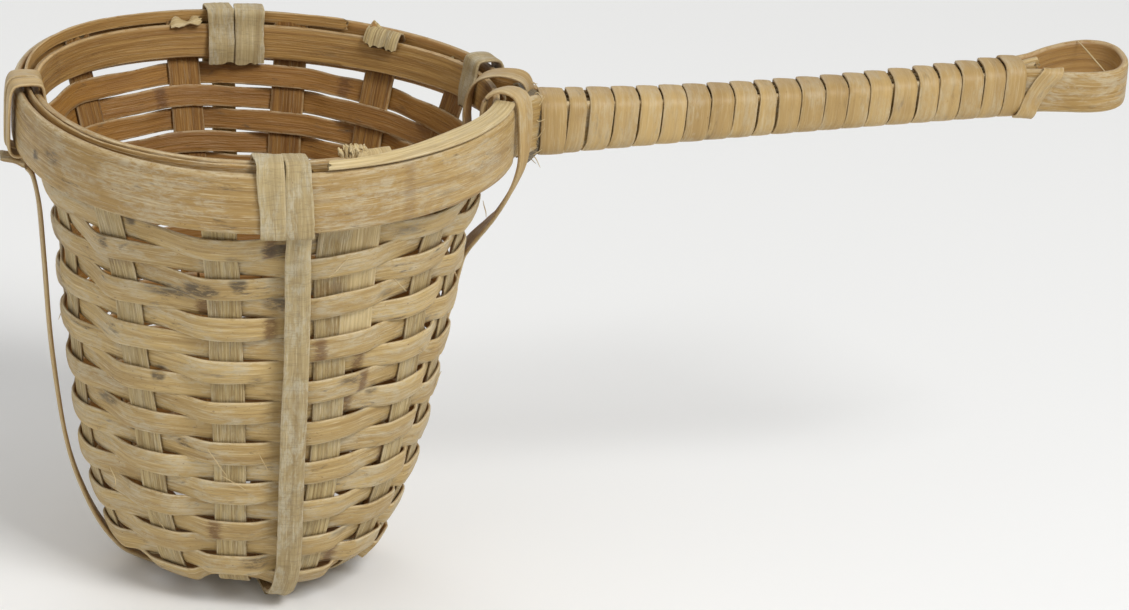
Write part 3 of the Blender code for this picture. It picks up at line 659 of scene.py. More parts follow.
def make_stakes():
    for number, (axis, lane, first, second) in enumerate(LONG_SPLINTS, 1):
        rows = stake_half(first) + base_crossings(axis, lane, first)
        other = [turned(r) for r in reversed(stake_half(second))]
        rows = rows + other
        strip = ribbon(align(rows), 100 + number, wavy=0.03, ridges=0.035, fray=(0.5, 0.5),
                       ring=strip_ring(13, 0.05))
        piece(f"stake_{number}", "stake_wood", [f"stake_splint_{number}"], [strip])
    short = ribbon(align(stake_half(EXTRA_STAKE)[:-2]), 107, wavy=0.03, ridges=0.035,
                   fray=(0.5, 0.3), ring=strip_ring(13, 0.05))
    piece("short_stake", "stake_wood", ["stake_short"], [short])


def align(rows):
    """Keeps the width direction from flipping between one row and the next."""
    for before, after in zip(rows, rows[1:]):
        if before[3:6] @ after[3:6] < 0:
            after[3:6] *= -1
    return rows


def weaver_row(place, side):
    """A row of the spiral at a stake place, on the stake's left or right edge.

    Places count on round the basket and up the wall. Odd places pass inside their stake.
    """
    stake = place % STAKE_COUNT
    length = WEAVE_START + WEAVE_PITCH * (1 - place - side * EDGE_SHARE) / STAKE_COUNT
    jitter = wander([abs(place) + 3.0], 2.0, 61)[0] * ROW_JITTER
    at_back = max(0.0, sin(radians(STAKE_ANGLES[stake])))
    at_back *= smoothstep(RISE_FROM_Z, RISE_TO_Z, wall_at(length)[1])
    length += jitter - WEAVE_RISE * at_back
    middle, across, normal, width = stake_frame(stake, length)
    angle = atan2(middle[1], middle[0])
    if across @ polar(1, angle + pi / 2) < 0:
        across = -across
    _, z, radial, upward = wall_at(length)
    along = radial * polar(1, angle) + UP * upward
    under = 1 - smoothstep(5, 10, z)
    clearance = EDGE_CLEARANCE + (BASE_EDGE_CLEARANCE - EDGE_CLEARANCE) * under
    if stake == DOUBLED_STAKE and side > 0 and place % 2 == 0:
        clearance += 1.5 * smoothstep(36, 42, z)
    offset = WEAVE_OFFSET if place % 2 == 0 else -WEAVE_OFFSET
    spot = middle + across * side * (width / 2 + clearance) + normal * offset
    return row(spot, along, normal, WEAVE_W - BACK_NARROWING * at_back, WEAVE_T)


def with_crossings(rows):
    """Adds a narrower row half-way between each two stakes."""
    filled = []
    for i, here in enumerate(rows):
        filled.append(here)
        if i % 2 == 1 and i + 1 < len(rows):
            middle = (here + rows[i + 1]) / 2
            middle[9] -= WEAVE_W - CROSSING_W
            filled.append(middle)
    return filled


def make_weavers():
    woven = WALL_TOTAL - WEAVE_START - WEAVE_END_MARGIN
    lowest = 1 - int(woven / WEAVE_PITCH * STAKE_COUNT)
    lowest -= 1 - lowest % 2
    per_weaver = 2 * round((TOP_PLACE - lowest) / WEAVER_COUNT / 2)
    top = TOP_PLACE
    ring = strip_ring(9, 0.06, crown=0.35)
    for number in range(1, WEAVER_COUNT + 1):
        bottom = lowest if number == WEAVER_COUNT else top - per_weaver
        places = range(bottom, top + 1)
        rows = with_crossings([weaver_row(place, side) for place in places for side in (-1, 1)])
        rows[0] = rows[0] * 0.45 + rows[1] * 0.55
        rows[-1] = rows[-1] * 0.45 + rows[-2] * 0.55
        strip = ribbon(rows, 200 + number * 7, ring=ring, wavy=0.035, ridges=0.02, twist=3.5,
                       cup=0.08, stain=wall_stain)
        piece(f"weave_{number}", "weaver_skin", [f"weaver_{number}"], [strip])
        top = bottom


WEAVE_START = length_at_height(WEAVE_TOP_Z)


# --- Rim ---

def handle_middle(x):
    """The handle rises from the rim towards its loop and sags a little half-way."""
    sag = HANDLE_SAG * max(0.0, 1 - ((x - SAG_X) / SAG_REACH) ** 2)
    return RIM_Z - HANDLE_DROP + (x - HANDLE_FROM_X) * HANDLE_SLOPE - sag


def handle_half_height(x):
    """Half the height of the grip at the middle of its wrap: waisted half-way along."""
    return (GRIP_H + GRIP_FLARE * ((x - WAIST_X) / FLARE_REACH) ** 2) / 2 - WRAP_INSET


def on_handle(x, y, z):
    """A point given from the handle's middle line."""
    return vec(x, y, handle_middle(x) + z)


def squared(value, power):
    """A sine or cosine bent so that a round section becomes a rounded square."""
    return copysign(abs(value) ** power, value)


# Its edge column also lays the pale edge and painted highlight along the hoop's top bevel.
HOOP_RING = np.array([
    (-1, 0.1, 1, 1), (-0.985, 0.75, 1, 0.6), (-0.93, 0.98, 1, 0), (-0.8, 1.04, 1, 0),
    (-0.6, 1.07, 1, 0), (-0.4, 1.08, 1, 0), (-0.2, 1.08, 1, 0), (0.0, 1.07, 1, 0),
    (0.2, 1.06, 1, 0), (0.4, 1.04, 1, 0), (0.55, 1.0, 1, 0), (0.64, 0.93, 1, 0),
    (0.69, 0.82, 1, 0.1), (0.73, 0.9, 1, 0.1), (0.8, 0.86, 1, 0.3), (0.88, 0.66, 1, 0.6),
    (0.95, 0.36, 1, 0.9), (0.99, 0.0, 1, 1), (0.985, -0.5, 0, 1), (0.93, -0.86, 0, 0.4),
    (0.7, -1, 0, 0), (0.35, -1, 0, 0), (0, -1, 0, 0), (-0.35, -1, 0, 0), (-0.7, -1, 0, 0),
    (-0.93, -0.95, 0, 0.3), (-0.99, -0.6, 0, 1),
])


# Scuffs on the outer hoop's face: angle, height, half width in degrees, half height, darkness
SCUFFS = (
    (-152, 66, 5, 1.4, 0.6), (-160, 64.6, 2, 1, 0.8), (-128, 64, 5, 1, 0.25),
    (-52, 64, 5, 0.7, 0.45), (-58, 66.6, 8, 0.4, 0.35), (60, 65, 6, 1.2, 0.4),
    (130, 66, 5, 1, 0.4), (175, 65, 4, 1.2, 0.4),
)


def hoop_stain(points):
    return darkness(points, SCUFFS, 1.0, 1.3, 0.3)


def make_outer_hoop():
    """One strip round the rim, its two ends turned out side by side into the handle."""
    middle_r = RIM_R - HOOP_T / 2
    legs = [vec(x, 0.95, 0) for x in (62.0, 54, 46, 40.5)]
    legs += [vec(38.6, 1.35, 0), vec(37.1, 2.7, 0), vec(35.5, 4.9, 0)]
    path = list(legs)
    for i in range(65):
        angle = radians(12 + 336 * i / 64)
        path.append(polar(middle_r * rim_shape(angle), angle))
    path += [vec(p[0], -p[1], 0) for p in reversed(legs)]
    rows = []
    for i, spot in enumerate(path):
        along = heading(path, i)
        outward = vec(along[1], -along[0], 0)
        in_handle = smoothstep(35.5, 39.5, spot[0])
        leg_half = handle_half_height(spot[0]) - LEG_GAP
        tall = HOOP_H - 0.8 * smoothstep(-0.5, 0.6, sin(atan2(spot[1], spot[0])))
        top = RIM_Z + (handle_middle(spot[0]) + leg_half - RIM_Z) * in_handle
        bottom = RIM_Z - tall + (handle_middle(spot[0]) - leg_half - RIM_Z + tall) * in_handle
        thick = HOOP_T - 0.15 * in_handle
        place = np.array((spot[0], spot[1], (top + bottom) / 2))
        rows.append(row(place, UP, outward, top - bottom, thick))
    single("rim_outer_hoop", "hoop_skin", "outer_hoop", rows, 301, spacing=0.7, ring=HOOP_RING,
           wavy=0.006, ridges=0.02, fray=(0.2, 0.2), stain=hoop_stain)


def make_inner_hoop():
    """A lower strip that leans in with the wall, risen at the front and sunk at the back."""
    rows = []
    for i in range(60):
        angle = 2 * pi * i / 60
        middle_z = inner_hoop_middle(angle)
        low = inner_hoop_point(angle, middle_z - INNER_HOOP_H / 2)
        high = inner_hoop_point(angle, middle_z + INNER_HOOP_H / 2)
        lean = high - low
        outward = np.array((lean[2] * cos(angle), lean[2] * sin(angle),
                            -float(np.hypot(lean[0], lean[1]))))
        rows.append(row((low + high) / 2, unit(lean), unit(outward), float(np.linalg.norm(lean)),
                        INNER_HOOP_T))
    single("rim_inner_hoop", "inner_wood", "inner_hoop", rows, 311, spacing=0.7,
           ring=strip_ring(13, 0.06), closed=True, wavy=0.012, ridges=0.03)


def make_rim_filler():
    """A thin strip on edge between the hoops, round the left and the back."""
    rows = []
    for i in range(41):
        angle = radians(-87 - 211 * i / 40)
        z = RIM_Z - 0.1 + 0.25 * sin(3.1 * angle + 0.4)
        middle = polar(HOOP_GAP_R * rim_shape(angle), angle, z - 0.25)
        rows.append(row(middle, UP, polar(1, angle), 1.7, 0.42))
    single("rim_edge_filler", "inner_wood", "rim_filler", rows, 321, spacing=0.7, wavy=0.1,
           ridges=0.02, fray=(0.8, 0.8))


def make_rim_cover():
    """The pale strip that lies flat over the front right of the rim and narrows to the bindings."""
    rows = []
    for i in range(25):
        share = i / 24
        angle = radians(-15.5 - 68 * share)
        width = 2.9 - 2.0 * smoothstep(0.4, 0.95, share)
        outer = (RIM_R - 0.1) * rim_shape(angle)
        inner_top = inner_hoop_middle(angle) + INNER_HOOP_H / 2
        high = polar(outer - width, angle, max(inner_top, RIM_Z) + 0.45)
        low = polar(outer, angle, RIM_Z + 0.4)
        through = polar(high[2] - low[2], angle, width)
        rows.append(row((low + high) / 2, unit(high - low), unit(through),
                        float(np.linalg.norm(high - low)), 0.5))
    single("rim_cover_strip", "pale_cut", "rim_cover", rows, 331, spacing=0.5, wavy=0.03,
           ridges=0.02, fray=(0.1, 0.4), ring=strip_ring(9, 0.07, crown=0.3))


# Each lap's side, number, look and angle, its widths inside and outside, its seed, how far it
# leans, stands off and rises, and how ragged its edges are
LAPS = (
    ("front", 1, "grey_strip", -96.9, (4.1, 3.2), 401, 1.1, 0, 0, 0.08),
    ("front", 2, "grey_strip", -91.0, (3.1, 3.9), 402, 0.8, 0, 0, 0.08),
    ("back", 1, "grey_strip", 94.6, (3.9, 3.2), 403, 0, 0, 0, 0.07),
    ("back", 2, "grey_strip", 87.2, (4.2, 3.3), 404, 0, 0, 0, 0.07),
    ("left", 1, "smooth_strip", 182.0, (3.0, 3.0), 405, 0, 0.5, 0.5, 0.05),
    ("left", 2, "smooth_strip", 176.0, (3.0, 3.0), 406, 0, 0.5, 0.5, 0.05),
    ("handle", 2, "grey_strip", 15.2, (4.2, 3.4), 408, 0, 0.1, 0.4, 0.1),
)
LAP_T = 0.42


def lap(side, number, slot, angle, widths, seed, lean, spread, rise, ragged):
    """One lap of a binding over both hoops, open under the rim where it passes into the wall."""
    turn = radians(angle)
    inner_top = inner_hoop_middle(turn) + INNER_HOOP_H / 2
    inner_low = inner_top - INNER_HOOP_H - 0.6
    inset = INNER_HOOP_INSET + INNER_HOOP_T / 2 + LAP_T
    low_r, high_r = (hypot(*inner_hoop_point(turn, z, inset)[:2])
                     for z in (inner_low, inner_top))
    outer = RIM_R * rim_shape(turn) + 0.38 + spread
    crest = max(inner_top, RIM_Z) + 0.75 + rise
    shoulder = 0.6 * rise
    under = RIM_Z - HOOP_H - 0.7
    route = (
        (low_r, inner_low, 0), (low_r, inner_top - 3.0, 0), (high_r, inner_top - 0.6, 0),
        (high_r + 0.25, crest - 0.35 - shoulder, 0), (high_r + 0.9, crest, 0.1),
        (outer - 1.2, crest - 0.05, 0.25), (outer - 0.3, crest - 0.45 - shoulder, 0.35),
        (outer, RIM_Z - 1.2, 0.45), (outer + 0.05, RIM_Z - 4, 0.7), (outer, under + 1.4, 0.95),
        (outer - 0.35, under + 0.35, 1.0), (outer - 1.2, under, 1.0),
        (outer - 2.4, under + 0.3, 1.0),
    )
    middles = [polar(r, turn + lean * share / RIM_R, z) for r, z, share in route]
    centre = polar(HOOP_GAP_R, turn, RIM_Z - 4)
    rows = []
    for i, (_, _, share) in enumerate(route):
        across = polar(1, turn + lean * share / RIM_R + pi / 2)
        out = unit(np.cross(heading(middles, i), across))
        out *= copysign(1, out @ (middles[i] - centre))
        width = widths[0] + (widths[1] - widths[0]) * share
        rows.append(row(middles[i], across, out, width, LAP_T))
    single(f"lap_{side}_{number}", slot, f"{side}_binding_{number}", rows, seed, spacing=0.35,
           wavy=ragged, ridges=0.03, fray=(0.3, 0.3), ring=strip_ring(11, 0.06))


def make_handle_loop():
    """The loose lap nearest the handle: an arch from inside the hoops to the root of the neck."""
    path = [(28.6, 2.8, 62.6), (28.3, 2.4, 66.0), (28.6, 1.7, 68.8), (29.7, 0.7, 70.9),
            (31.6, -0.3, 71.9), (33.8, -0.8, 71.9), (35.6, -0.6, 71.0), (36.5, 0.0, 69.0),
            (36.5, 0.5, 66.0), (35.8, 0.6, 62.4), (34.6, 0.6, 61.0)]
    rows = strap_rows(path, vec(0.42, 0.9, 0), vec(32.5, 0, 66), 3.6, 0.42)
    single("lap_handle_1", "smooth_strip", "handle_binding_1", rows, 407, spacing=0.35, wavy=0.04,
           ridges=0.02, fray=(0.3, 0.3))


# --- Straps ---

def wall_point(degrees, z, offset):
    """A point so far outside the wall's middle, at a height on the wall."""
    angle = radians(degrees)
    radius, z, radial, upward = wall_at(length_at_height(z))
    return polar(radius * out_of_round(angle, z), angle, z) + polar(-upward, angle, radial) * offset


def strap_rows(path, across, centre, width=STRAP_W, thick=STRAP_T):
    """Rows of a strap whose skin faces away from the middle of the basket."""
    path = points_of(*path)
    rows = []
    for i, spot in enumerate(path):
        side = across(i / (len(path) - 1)) if callable(across) else across
        through = np.cross(side, heading(path, i))
        if through @ (spot - centre) < 0:
            through = -through
        rows.append(row(spot, side, unit(through), width, thick))
    return rows


def upright_strap(places):
    """The path of a strap from the rim down the wall and in under the base."""
    top, low = radians(places[0][1]), places[-1][1]
    tucked = STRAP_TOP_R * rim_shape(top)
    path = [polar(tucked, top, 64.6), polar(tucked, top, 61.8)]
    for z, degrees in (*places, (5, low), (3.4, low)):
        path.append(wall_point(degrees, z, STRAP_OFFSET))
    path.append(polar(12.5, radians(low), 1.2))
    return list(spline(path[:6], 4.0)[:-1]) + list(spline(path[5:], 1.6))


def make_front_back_strap():
    """The rib down the front, under the base and up the back."""
    back = [(z, BACK_STRAP_ANGLE) for z, _ in FRONT_STRAP]
    path = upright_strap(FRONT_STRAP) + list(reversed(upright_strap(back)))
    rows = strap_rows(path, vec(1.0, 0, 0), vec(0, 0, 35))
    ring = strip_ring(15, 0.05, crown=0.5, ridge=(0.45, 0.9, 0.5))
    single("rib_strap", "grey_strip", "strap_front_back", rows, 501, spacing=0.6, ring=ring,
           wavy=0.045, ridges=0.03, twist=3, fray=(0.4, 0.4))


def make_side_strap():
    """From a loose loop over the rim by the handle, down, under the base and up the left side."""
    loop = [(28.9, -6.8, 66.2), (28.9, -7.0, 69.6), (29.8, -7.3, 71.3), (31.7, -7.9, 72.0),
            (33.5, -8.6, 71.4), (34.1, -9.2, 69.6), (34.3, -9.4, 65.5), (34.1, -9.5, 62.0),
            (33.3, -9.2, 59.0), (32.3, -8.4, 56.3), (31.4, -6.4, 53.4), (30.7, -2.8, 50.4)]
    places = ((45, 4.0), (39, 7.0), (32, 9.0), (22, 9.0), (12, 9.0), (8, 9.0), (5.4, 9.0))
    down = [wall_point(degrees, z, STRAP_OFFSET) for z, degrees in places]
    under = [(17.2, 1.8, 1.9), (14.2, 0.6, 0.35)]
    left = [(-14.2, 0, 0.35), (-17.8, 0, 2.0), (-21.3, 0, 6.0), (-24.4, 0, 12.4), (-26.6, 0, 20.0),
            (-28.6, 0, 33.0), (-29.7, 0, 45.0), (-30.6, 0, 54.0), (-31.9, 0, 58.6),
            (-33.6, 0.2, 59.9), (-35.2, 0.2, 60.3)]
    path = list(spline(loop + down + under, 3.0))
    path += [(x, 0, STRAP_T / 2) for x in (13.0, 4.5, -4.5, -13.0)]
    path += list(spline(left, 3.0))

    def across(share):
        turn = 22 * (1 - smoothstep(0.08, 0.3, share))
        twist = 38 * smoothstep(0.02, 0.07, share) * (1 - smoothstep(0.1, 0.16, share))
        return polar(1, radians(90 - turn - twist))
    rows = strap_rows(path, across, vec(0, 0, 40))
    for i, one in enumerate(rows):       # slim over the rim, slimmest where it turns in
        share = i / len(rows)
        one[9] -= 0.8 * (1 - smoothstep(0.14, 0.24, share))
        one[9] -= 1.1 * smoothstep(0.08, 0.13, share) * (1 - smoothstep(0.17, 0.25, share))
    single("side_strap", "smooth_strip", "strap_side", align(rows), 511, spacing=0.6, wavy=0.03,
           ridges=0.015, fray=(0.3, 0.8))


# --- Handle ---

# Where each turn of the wrap starts along the front of the handle
WRAP_EDGES = (37.7, 41.3, 44.4, 48.0, 51.5, 54.8, 58.2, 61.6, 64.9, 68.2, 71.1, 74.4, 77.8, 81.1,
              84.2, 87.4, 91.2, 94.1, 97.3, 100.5, 103.6, 106.6)
WRAP_GAPS = {0: -0.15, 1: 0.6, 2: 0.15, 4: 0.2, 9: 0.45, 15: 0.4}  # wider gap after these
WRAP_T = 0.42
WRAP_TILT = 0.045  # how much each turn's edge stands over the one before
WRAP_ROUNDING = 3.4


def wrap_spot(x, turn):
    """A place and outward direction on the rounded grip, turn 0 being under its middle."""
    c, s = -sin(turn), -cos(turn)
    power = 2 / WRAP_ROUNDING
    half_y, half_z = GRIP_HALF_Y, handle_half_height(x)
    out = np.array((0, squared(c, 2 - power) / half_y, squared(s, 2 - power) / half_z))
    return on_handle(x, half_y * squared(c, power), half_z * squared(s, power)), unit(out)


def make_grip_wrap():
    """One strip wound round the handle: up the front, back over the top and down behind."""
    turns = len(WRAP_EDGES) - 1
    middles = [(a + b) / 2 for a, b in zip(WRAP_EDGES, WRAP_EDGES[1:])]
    widths = [b - a - 0.1 - WRAP_GAPS.get(i, 0.0)
              for i, (a, b) in enumerate(zip(WRAP_EDGES, WRAP_EDGES[1:]))]
    steps = 40
    rows = []
    rng = np.random.default_rng(77)
    slants = rng.uniform(-0.12, 0.12, turns + 1)
    for step in range(turns * steps + 1):
        here, share = divmod(step, steps)
        here = min(here, turns - 1)
        shift = share / steps - 0.4  # each turn steps over to the next along its top
        if shift < 0:
            first, second, shift = max(here - 1, 0), here, shift + 1
        else:
            first, second = here, min(here + 1, turns - 1)
        blend = smoothstep(0.0, 1.0, shift)
        x = middles[first] + (middles[second] - middles[first]) * blend
        width = widths[first] + (widths[second] - widths[first]) * blend
        turn = 2 * pi * share / steps
        spot, out = wrap_spot(x, turn)
        spot[0] += slants[here] * cos(turn) * 0.4
        rows.append(row(spot, vec(1.0, 0, 0) - WRAP_TILT * out, out, width, WRAP_T))
    ring = strip_ring(9, 0.05, crown=0.35)
    single("grip_wrap", "wrap_strip", "handle_wrap", rows, 601, spacing=0.45, ring=ring, wavy=0.02,
           ridges=0.012)


def loop_height(x, y):
    tilt = y * LOOP_TILT * smoothstep(106, 112, x)
    return handle_middle(x) + 0.35 * smoothstep(106, 114, x) + tilt


def make_loop_strip():
    """One strip bent into a U: its legs lie inside the wrap, its bend is the hanging loop."""
    half = [(x, LOOP_LEG_Y) for x in (40.0, 62, 84, 98, 104)]
    half += [(108, 2.8), (112, 4.0), (116, 4.9), (119.2, 4.3), (120.9, 2.4), (121.3, 0)]
    path = half + [(x, -y) for x, y in reversed(half[:-1])]
    rows = []
    for i, (x, y) in enumerate(path):
        ahead, behind = path[min(i + 1, len(path) - 1)], path[max(i - 1, 0)]
        outward = unit(np.array((-(ahead[1] - behind[1]), ahead[0] - behind[0], 0.0)))
        if outward @ vec(x - 113, y, 0) < 0 and x > 100 or (x <= 104 and outward[1] * y < 0):
            outward = -outward
        inside = handle_half_height(x) - LEG_GAP
        half_height = inside + (2.95 - inside) * smoothstep(106.6, 110, x)
        rows.append(row(np.array((x, y, loop_height(x, y))), UP, outward, half_height * 2, LOOP_T))
    ring = strip_ring(13, 0.06, crown=0.12)
    single("hanging_loop_strip", "loop_skin", "handle_loop_strip", rows, 611, spacing=0.5,
           ring=ring, wavy=0.02, ridges=0.02, fray=(0.2, 0.2))


def make_core():
    """The core stick between the legs, its end splayed where it shows in the root of the loop."""
    sticks = []
    for number, (y, z, end) in enumerate(((-0.3, 2.0, 108.4), (0.9, 2.2, 109.2), (0.4, 0.6, 108.6),
                                          (-0.6, -1.0, 107.9), (0.7, -1.9, 107.3))):
        rows = []
        for x in (62.6, 80, 95, 104, end):
            spread = 1 + 0.25 * smoothstep(104, 108, x)
            rows.append(row(on_handle(x, y * spread, z * spread), UP, (0, 1, 0), 1.3, 1.25))
        sticks.append(ribbon(rows, 621 + number, spacing=1.0, wavy=0.1, ridges=0.08,
                             ring=strip_ring(7, 0.25), fray=(0.3, 0.6)))
    piece("core_stick", "pale_cut", ["handle_core"], sticks)


def make_wrap_tail():
    """The wrap's end: up across the front leg of the loop, over its edge and down inside."""
    rows = []
    for x, out, z, slope, side, up, width in (
            (106.1, 0.2, -3.8, 0, 0, -1, 2.5), (106.5, 1.1, -3.5, -0.1, -0.7, -0.7, 2.5),
            (106.9, 1.42, -2.8, -0.3, -1, -0.2, 2.5), (107.4, 1.3, -1.5, -0.5, -1, 0, 2.6),
            (108.4, 1.4, 0.4, -0.58, -1, 0, 2.7), (109.4, 1.75, 2.0, -0.5, -1, 0, 2.8),
            (109.9, 1.8, 2.6, -0.15, -0.9, 0.4, 2.9), (110.2, 1.2, 2.95, 0, 0, 1, 3.0),
            (110.5, 0.5, 2.5, 0.2, 0.9, 0.3, 2.9), (111.0, 0.35, 1.5, 0.5, 1, 0, 2.7),
            (111.6, 0.5, 0.4, 0.6, 1, 0, 2.6)):
        rows.append(row(on_handle(x, -LOOP_LEG_Y - out, z), unit(vec(1, 0, slope)),
                        unit(vec(0, side, up)), width, 0.4))
    single("wrap_tail_end", "wrap_strip", "wrap_tail", rows, 631, spacing=0.35, wavy=0.03,
           ridges=0.015, fray=(0.1, 0.5), ring=strip_ring(9, 0.06, crown=0.3))


def make_neck():
    """Slanting fibres round the hoop's ends, between the rim and the first turn of the wrap."""
    strands = []
    rng = np.random.default_rng(641)
    count = 74
    for i in range(count):
        turn = 2 * pi * i / count
        lean = -0.32 + rng.uniform(-0.08, 0.08)
        rows = []
        for x, half_y, half_z in ((35.3, 5.5, 4.9), (36.1, 4.8, 4.9), (36.8, 3.8, 4.6),
                                  (37.5, 3.2, 4.1), (38.3, 2.9, 3.7)):
            angle = turn + lean * (x - 37)
            c, s = -sin(angle), -cos(angle)
            y = half_y * squared(c, 0.6) + rng.uniform(-0.06, 0.06)
            z = half_z * squared(s, 0.6) + rng.uniform(-0.06, 0.06)
            out = unit(vec(0.3, c / half_y, s / half_z))
            side = np.cross(out, vec(1.0, 0, 0))
            rows.append(row(on_handle(x, y, z), side, out, rng.uniform(0.3, 0.5), 0.35))
        # A stain of 1 at every point is painted shade: the whole sleeve is darkened for the shade
        # it sits in between the rim and the wrap.
        strands.append(ribbon(rows, 650 + i, spacing=0.4, ring=strip_ring(3, 0.3), wavy=0.2,
                              ridges=0.05, fray=(0.4, 0.3),
                              stain=lambda points: np.full(len(points), 1.0)))
    piece("neck_fibre_sleeve", "grey_strip", ["neck_fibres"], strands)


# --- Small scraps and loose fibres ---

def hair(points, seed, width=0.16):
    """A loose fibre along a few points."""
    points = points_of(*points)
    rows = []
    for i, spot in enumerate(points):
        along = unit(heading(points, i))
        side = np.cross(along, UP)
        if np.linalg.norm(side) < 0.1:
            side = np.cross(along, vec(1.0, 0, 0))
        side = unit(side)
        slim = width * (0.5 if i in (0, len(points) - 1) else 1.0)
        rows.append(row(spot, side, np.cross(side, along), slim, slim))
    return ribbon(align(rows), seed, spacing=0.3, ring=strip_ring(3, 0.4), wavy=0.1,
                  ridges=0.0)


def make_overlay():
    """The cream splint laid over the right half of one front stake, its tip bent in at the rim."""
    rows = bent_tip(radians(OVERLAY_ANGLE) + 0.03, 71.2, OVERLAY_W, 0.3)
    for z in (STAKE_TIP_Z, 66.5, 64.0, 61.0, 58, 54, 50, 46, 42.5):
        _, _, radial, upward = wall_at(length_at_height(z))
        degrees = OVERLAY_ANGLE + 3.2 * smoothstep(66, 44, z)
        turn = radians(degrees)
        middle = wall_point(degrees, z, 0.34 * smoothstep(66, 63, z))
        rows.append(row(middle, polar(1, turn + pi / 2), polar(-upward, turn, radial),
                        OVERLAY_W, 0.2))
    single("stake_overlay_splint", "pale_cut", "stake_overlay", rows, 701, spacing=0.4, wavy=0.02,
           ridges=0.04, fray=(0.3, 0.4), ring=strip_ring(17, 0.04))


def make_tuft():
    """The crumpled scrap on the inner hoop at the back, and the frayed end of the short splint."""
    rows = []
    for radius, degrees, z, width, turn in (
            (32.5, 107.2, 68.7, 1.2, 0.2), (32.4, 105.9, 69.1, 2.2, 0.6),
            (32.3, 104.2, 68.9, 1.7, 0.2), (32.1, 102.9, 69.0, 1.9, -0.3),
            (32.1, 101.2, 69.2, 2.4, 0.4), (32.3, 99.9, 69.4, 1.0, 0.9)):
        angle = radians(degrees)
        rows.append(row(polar(radius, angle, z), polar(cos(turn), angle, sin(turn)),
                        polar(-sin(turn), angle, cos(turn)), width, 0.3))
    curl = ribbon(rows, 711, spacing=0.25, wavy=0.2, ridges=0.05, fray=(0.4, 0.4), twist=15)
    piece("rim_tuft_curl", "pale_cut", ["rim_tuft"], [curl])

    strands = []
    rng = np.random.default_rng(721)
    stake = radians(OVERLAY_ANGLE)
    shape = rim_shape(stake)
    for i in range(54):
        side = rng.uniform(-3.9, 0.1)
        angle = stake + side / HOOP_GAP_R
        top = 72.1 + rng.uniform(-0.35, 0.25) - 0.1 * (side + 1.9) ** 2
        depth = rng.uniform(-0.5, 0.4)
        points = [polar((HOOP_GAP_R - 1.1 + depth) * shape, angle, 69.4)]
        for inward, sway, z in ((1.0, 0.003, 71.2), (1.15, 0.006, top - 0.4), (1.6, 0.012, top)):
            radius = (HOOP_GAP_R - inward + depth) * shape
            points.append(polar(radius, angle + rng.uniform(-sway, sway), z))
        strands.append(hair(points, 730 + i, rng.uniform(0.3, 0.55)))
    piece("stake_tip_fray", "pale_cut", [], strands)


def make_loose_fibres():
    """Single fibres that stand away from the strips."""
    rng = np.random.default_rng(811)
    strands = [hair(((116.0, 4.5, 74.6), (116.4, 2.0, 74.2), (117.0, -1.2, 73.5),
                     (117.7, -4.3, 72.7)), 801, 0.2)]
    for degrees, z, length in ((-112, 27, 4.5), (-100, 21, 4.0), (-93, 24, 3.0), (-120, 45, 2.5),
                               (-60, 52, 3.0), (-75, 57, 4.0), (-40, 38, 2.5), (-150, 20, 3.0),
                               (30, 44, 3.5), (80, 30, 3.0), (120, 52, 4.0), (160, 36, 3.0),
                               (200, 42, 3.5), (-18, 57, 3.0), (-25, 30, 2.5), (-130, 12, 3.0)):
        angle = radians(degrees)
        start = wall_point(degrees, z, 1.05)
        tilt = rng.uniform(-1.2, 1.2)
        sideways = polar(sin(tilt), angle + pi / 2)
        upward = UP * cos(tilt) * rng.choice((-1, 1))
        out = polar(1, angle)
        way = (sideways + upward) * length
        points = [start + way * s + out * (0.1 + 0.5 * s * s) * rng.uniform(0.6, 1.4)
                  for s in (0, 0.35, 0.7, 1.0)]
        strands.append(hair(points, 820 + degrees % 97, 0.13))
    for i in range(16):
        turn = rng.uniform(0, 2 * pi)
        spot, out = wrap_spot(36.4, turn)
        points = [spot + out * 0.6, spot + out * 0.9 + np.array((0.7, 0, rng.uniform(-0.8, 0.8))),
                  spot + out * rng.uniform(0.4, 0.9) + np.array((1.6, 0, rng.uniform(-1.5, 1.5)))]
        strands.append(hair(points, 850 + i, 0.14))
    piece("loose_fibres", "pale_cut", [], strands)


# --- Floor, light and camera ---

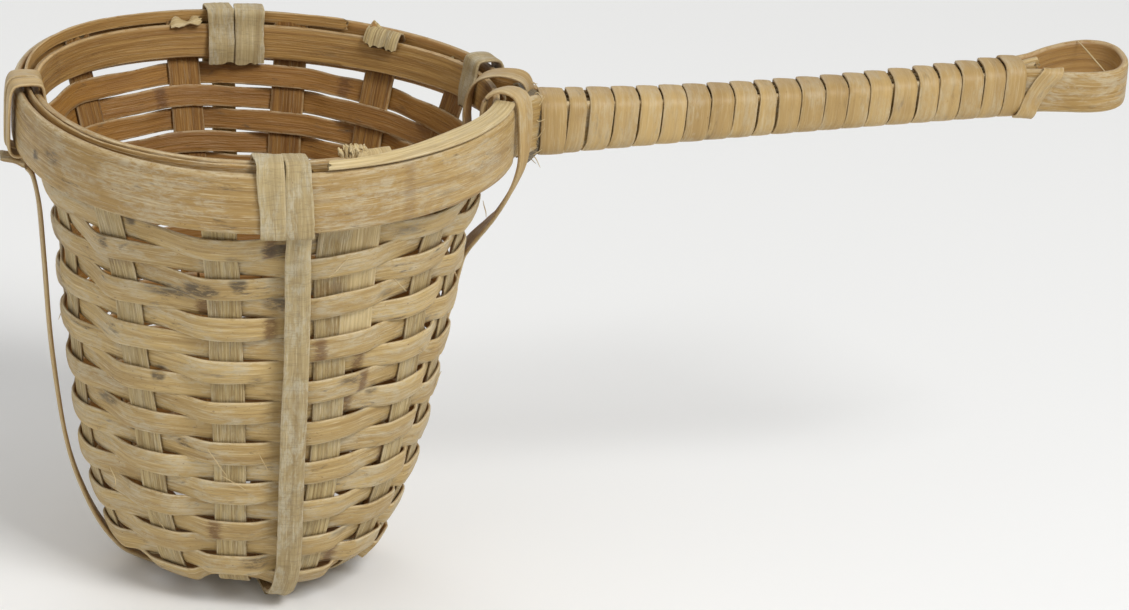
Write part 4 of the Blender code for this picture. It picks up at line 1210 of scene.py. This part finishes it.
def make_floor():
    size = 3.0
    mesh = bpy.data.meshes.new("floor")
    z = cad_box[0][2] - 0.00005
    mesh.from_pydata([(-size, -size, z), (size, -size, z), (size, size, z), (-size, size, z)], [],
                     [(0, 1, 2, 3)])
    paper = bpy.data.materials.new("floor_paper")
    paper.use_nodes = True
    shader = paper.node_tree.nodes["Principled BSDF"]
    shader.inputs["Base Color"].default_value = (0.88, 0.88, 0.87, 1)
    shader.inputs["Roughness"].default_value = 0.9
    mesh.materials.append(paper)
    add("floor", mesh)


def area_light(name, place, target, size, power):
    light = bpy.data.lights.new(name, "AREA")
    light.shape = "SQUARE"
    light.size = size
    light.energy = power
    lamp = add(name, light)
    lamp.location = place
    lamp.rotation_euler = (Vector(target) - Vector(place)).to_track_quat("-Z", "Y").to_euler()


def set_colours():
    """Plain colours, so that a tan in a material is the tan in the picture."""
    bpy.context.scene.view_settings.view_transform = "Standard"
    bpy.context.scene.view_settings.look = "None"


def make_lights():
    middle = (0.02, 0.0, 0.04)
    area_light("key", (0.35, -0.55, 0.75), middle, 0.35, 6.0)
    area_light("fill", (-0.7, -0.5, 0.45), middle, 0.8, 1.5)
    area_light("back", (-0.1, 0.8, 0.7), middle, 0.8, 2.2)
    world = bpy.data.worlds.new("studio")
    world.use_nodes = True
    background = world.node_tree.nodes["Background"]
    background.inputs["Color"].default_value = (1, 1, 1, 1)
    background.inputs["Strength"].default_value = 0.42
    bpy.context.scene.world = world


def make_camera():
    """Low on the left of the handle's side, looking down about 21 degrees and rolled a little."""
    place = Vector((-75.01, -555.15, 259.90)) * MM
    ahead = Vector((0.19393, 0.91057, -0.36504)).normalized()
    right = ahead.cross(Vector((0, 0, 1))).normalized()
    level = Matrix((right, right.cross(ahead), -ahead)).transposed()
    turn = (level @ Matrix.Rotation(radians(3.5), 3, "Z")).to_4x4()
    lens = bpy.data.cameras.new("camera")
    lens.lens = 138.3
    lens.sensor_width = 36.0
    lens.clip_start = 0.01
    camera = add("camera", lens)
    camera.matrix_world = Matrix.Translation(place) @ turn
    bpy.context.scene.camera = camera


make_camera()
make_stakes()
make_weavers()
make_outer_hoop()
make_inner_hoop()
make_rim_filler()
make_rim_cover()
for each in LAPS:
    lap(*each)
make_handle_loop()
make_front_back_strap()
make_side_strap()
make_grip_wrap()
make_loop_strip()
make_core()
make_wrap_tail()
make_neck()
make_overlay()
make_tuft()
make_loose_fibres()
make_floor()
make_lights()
set_colours()
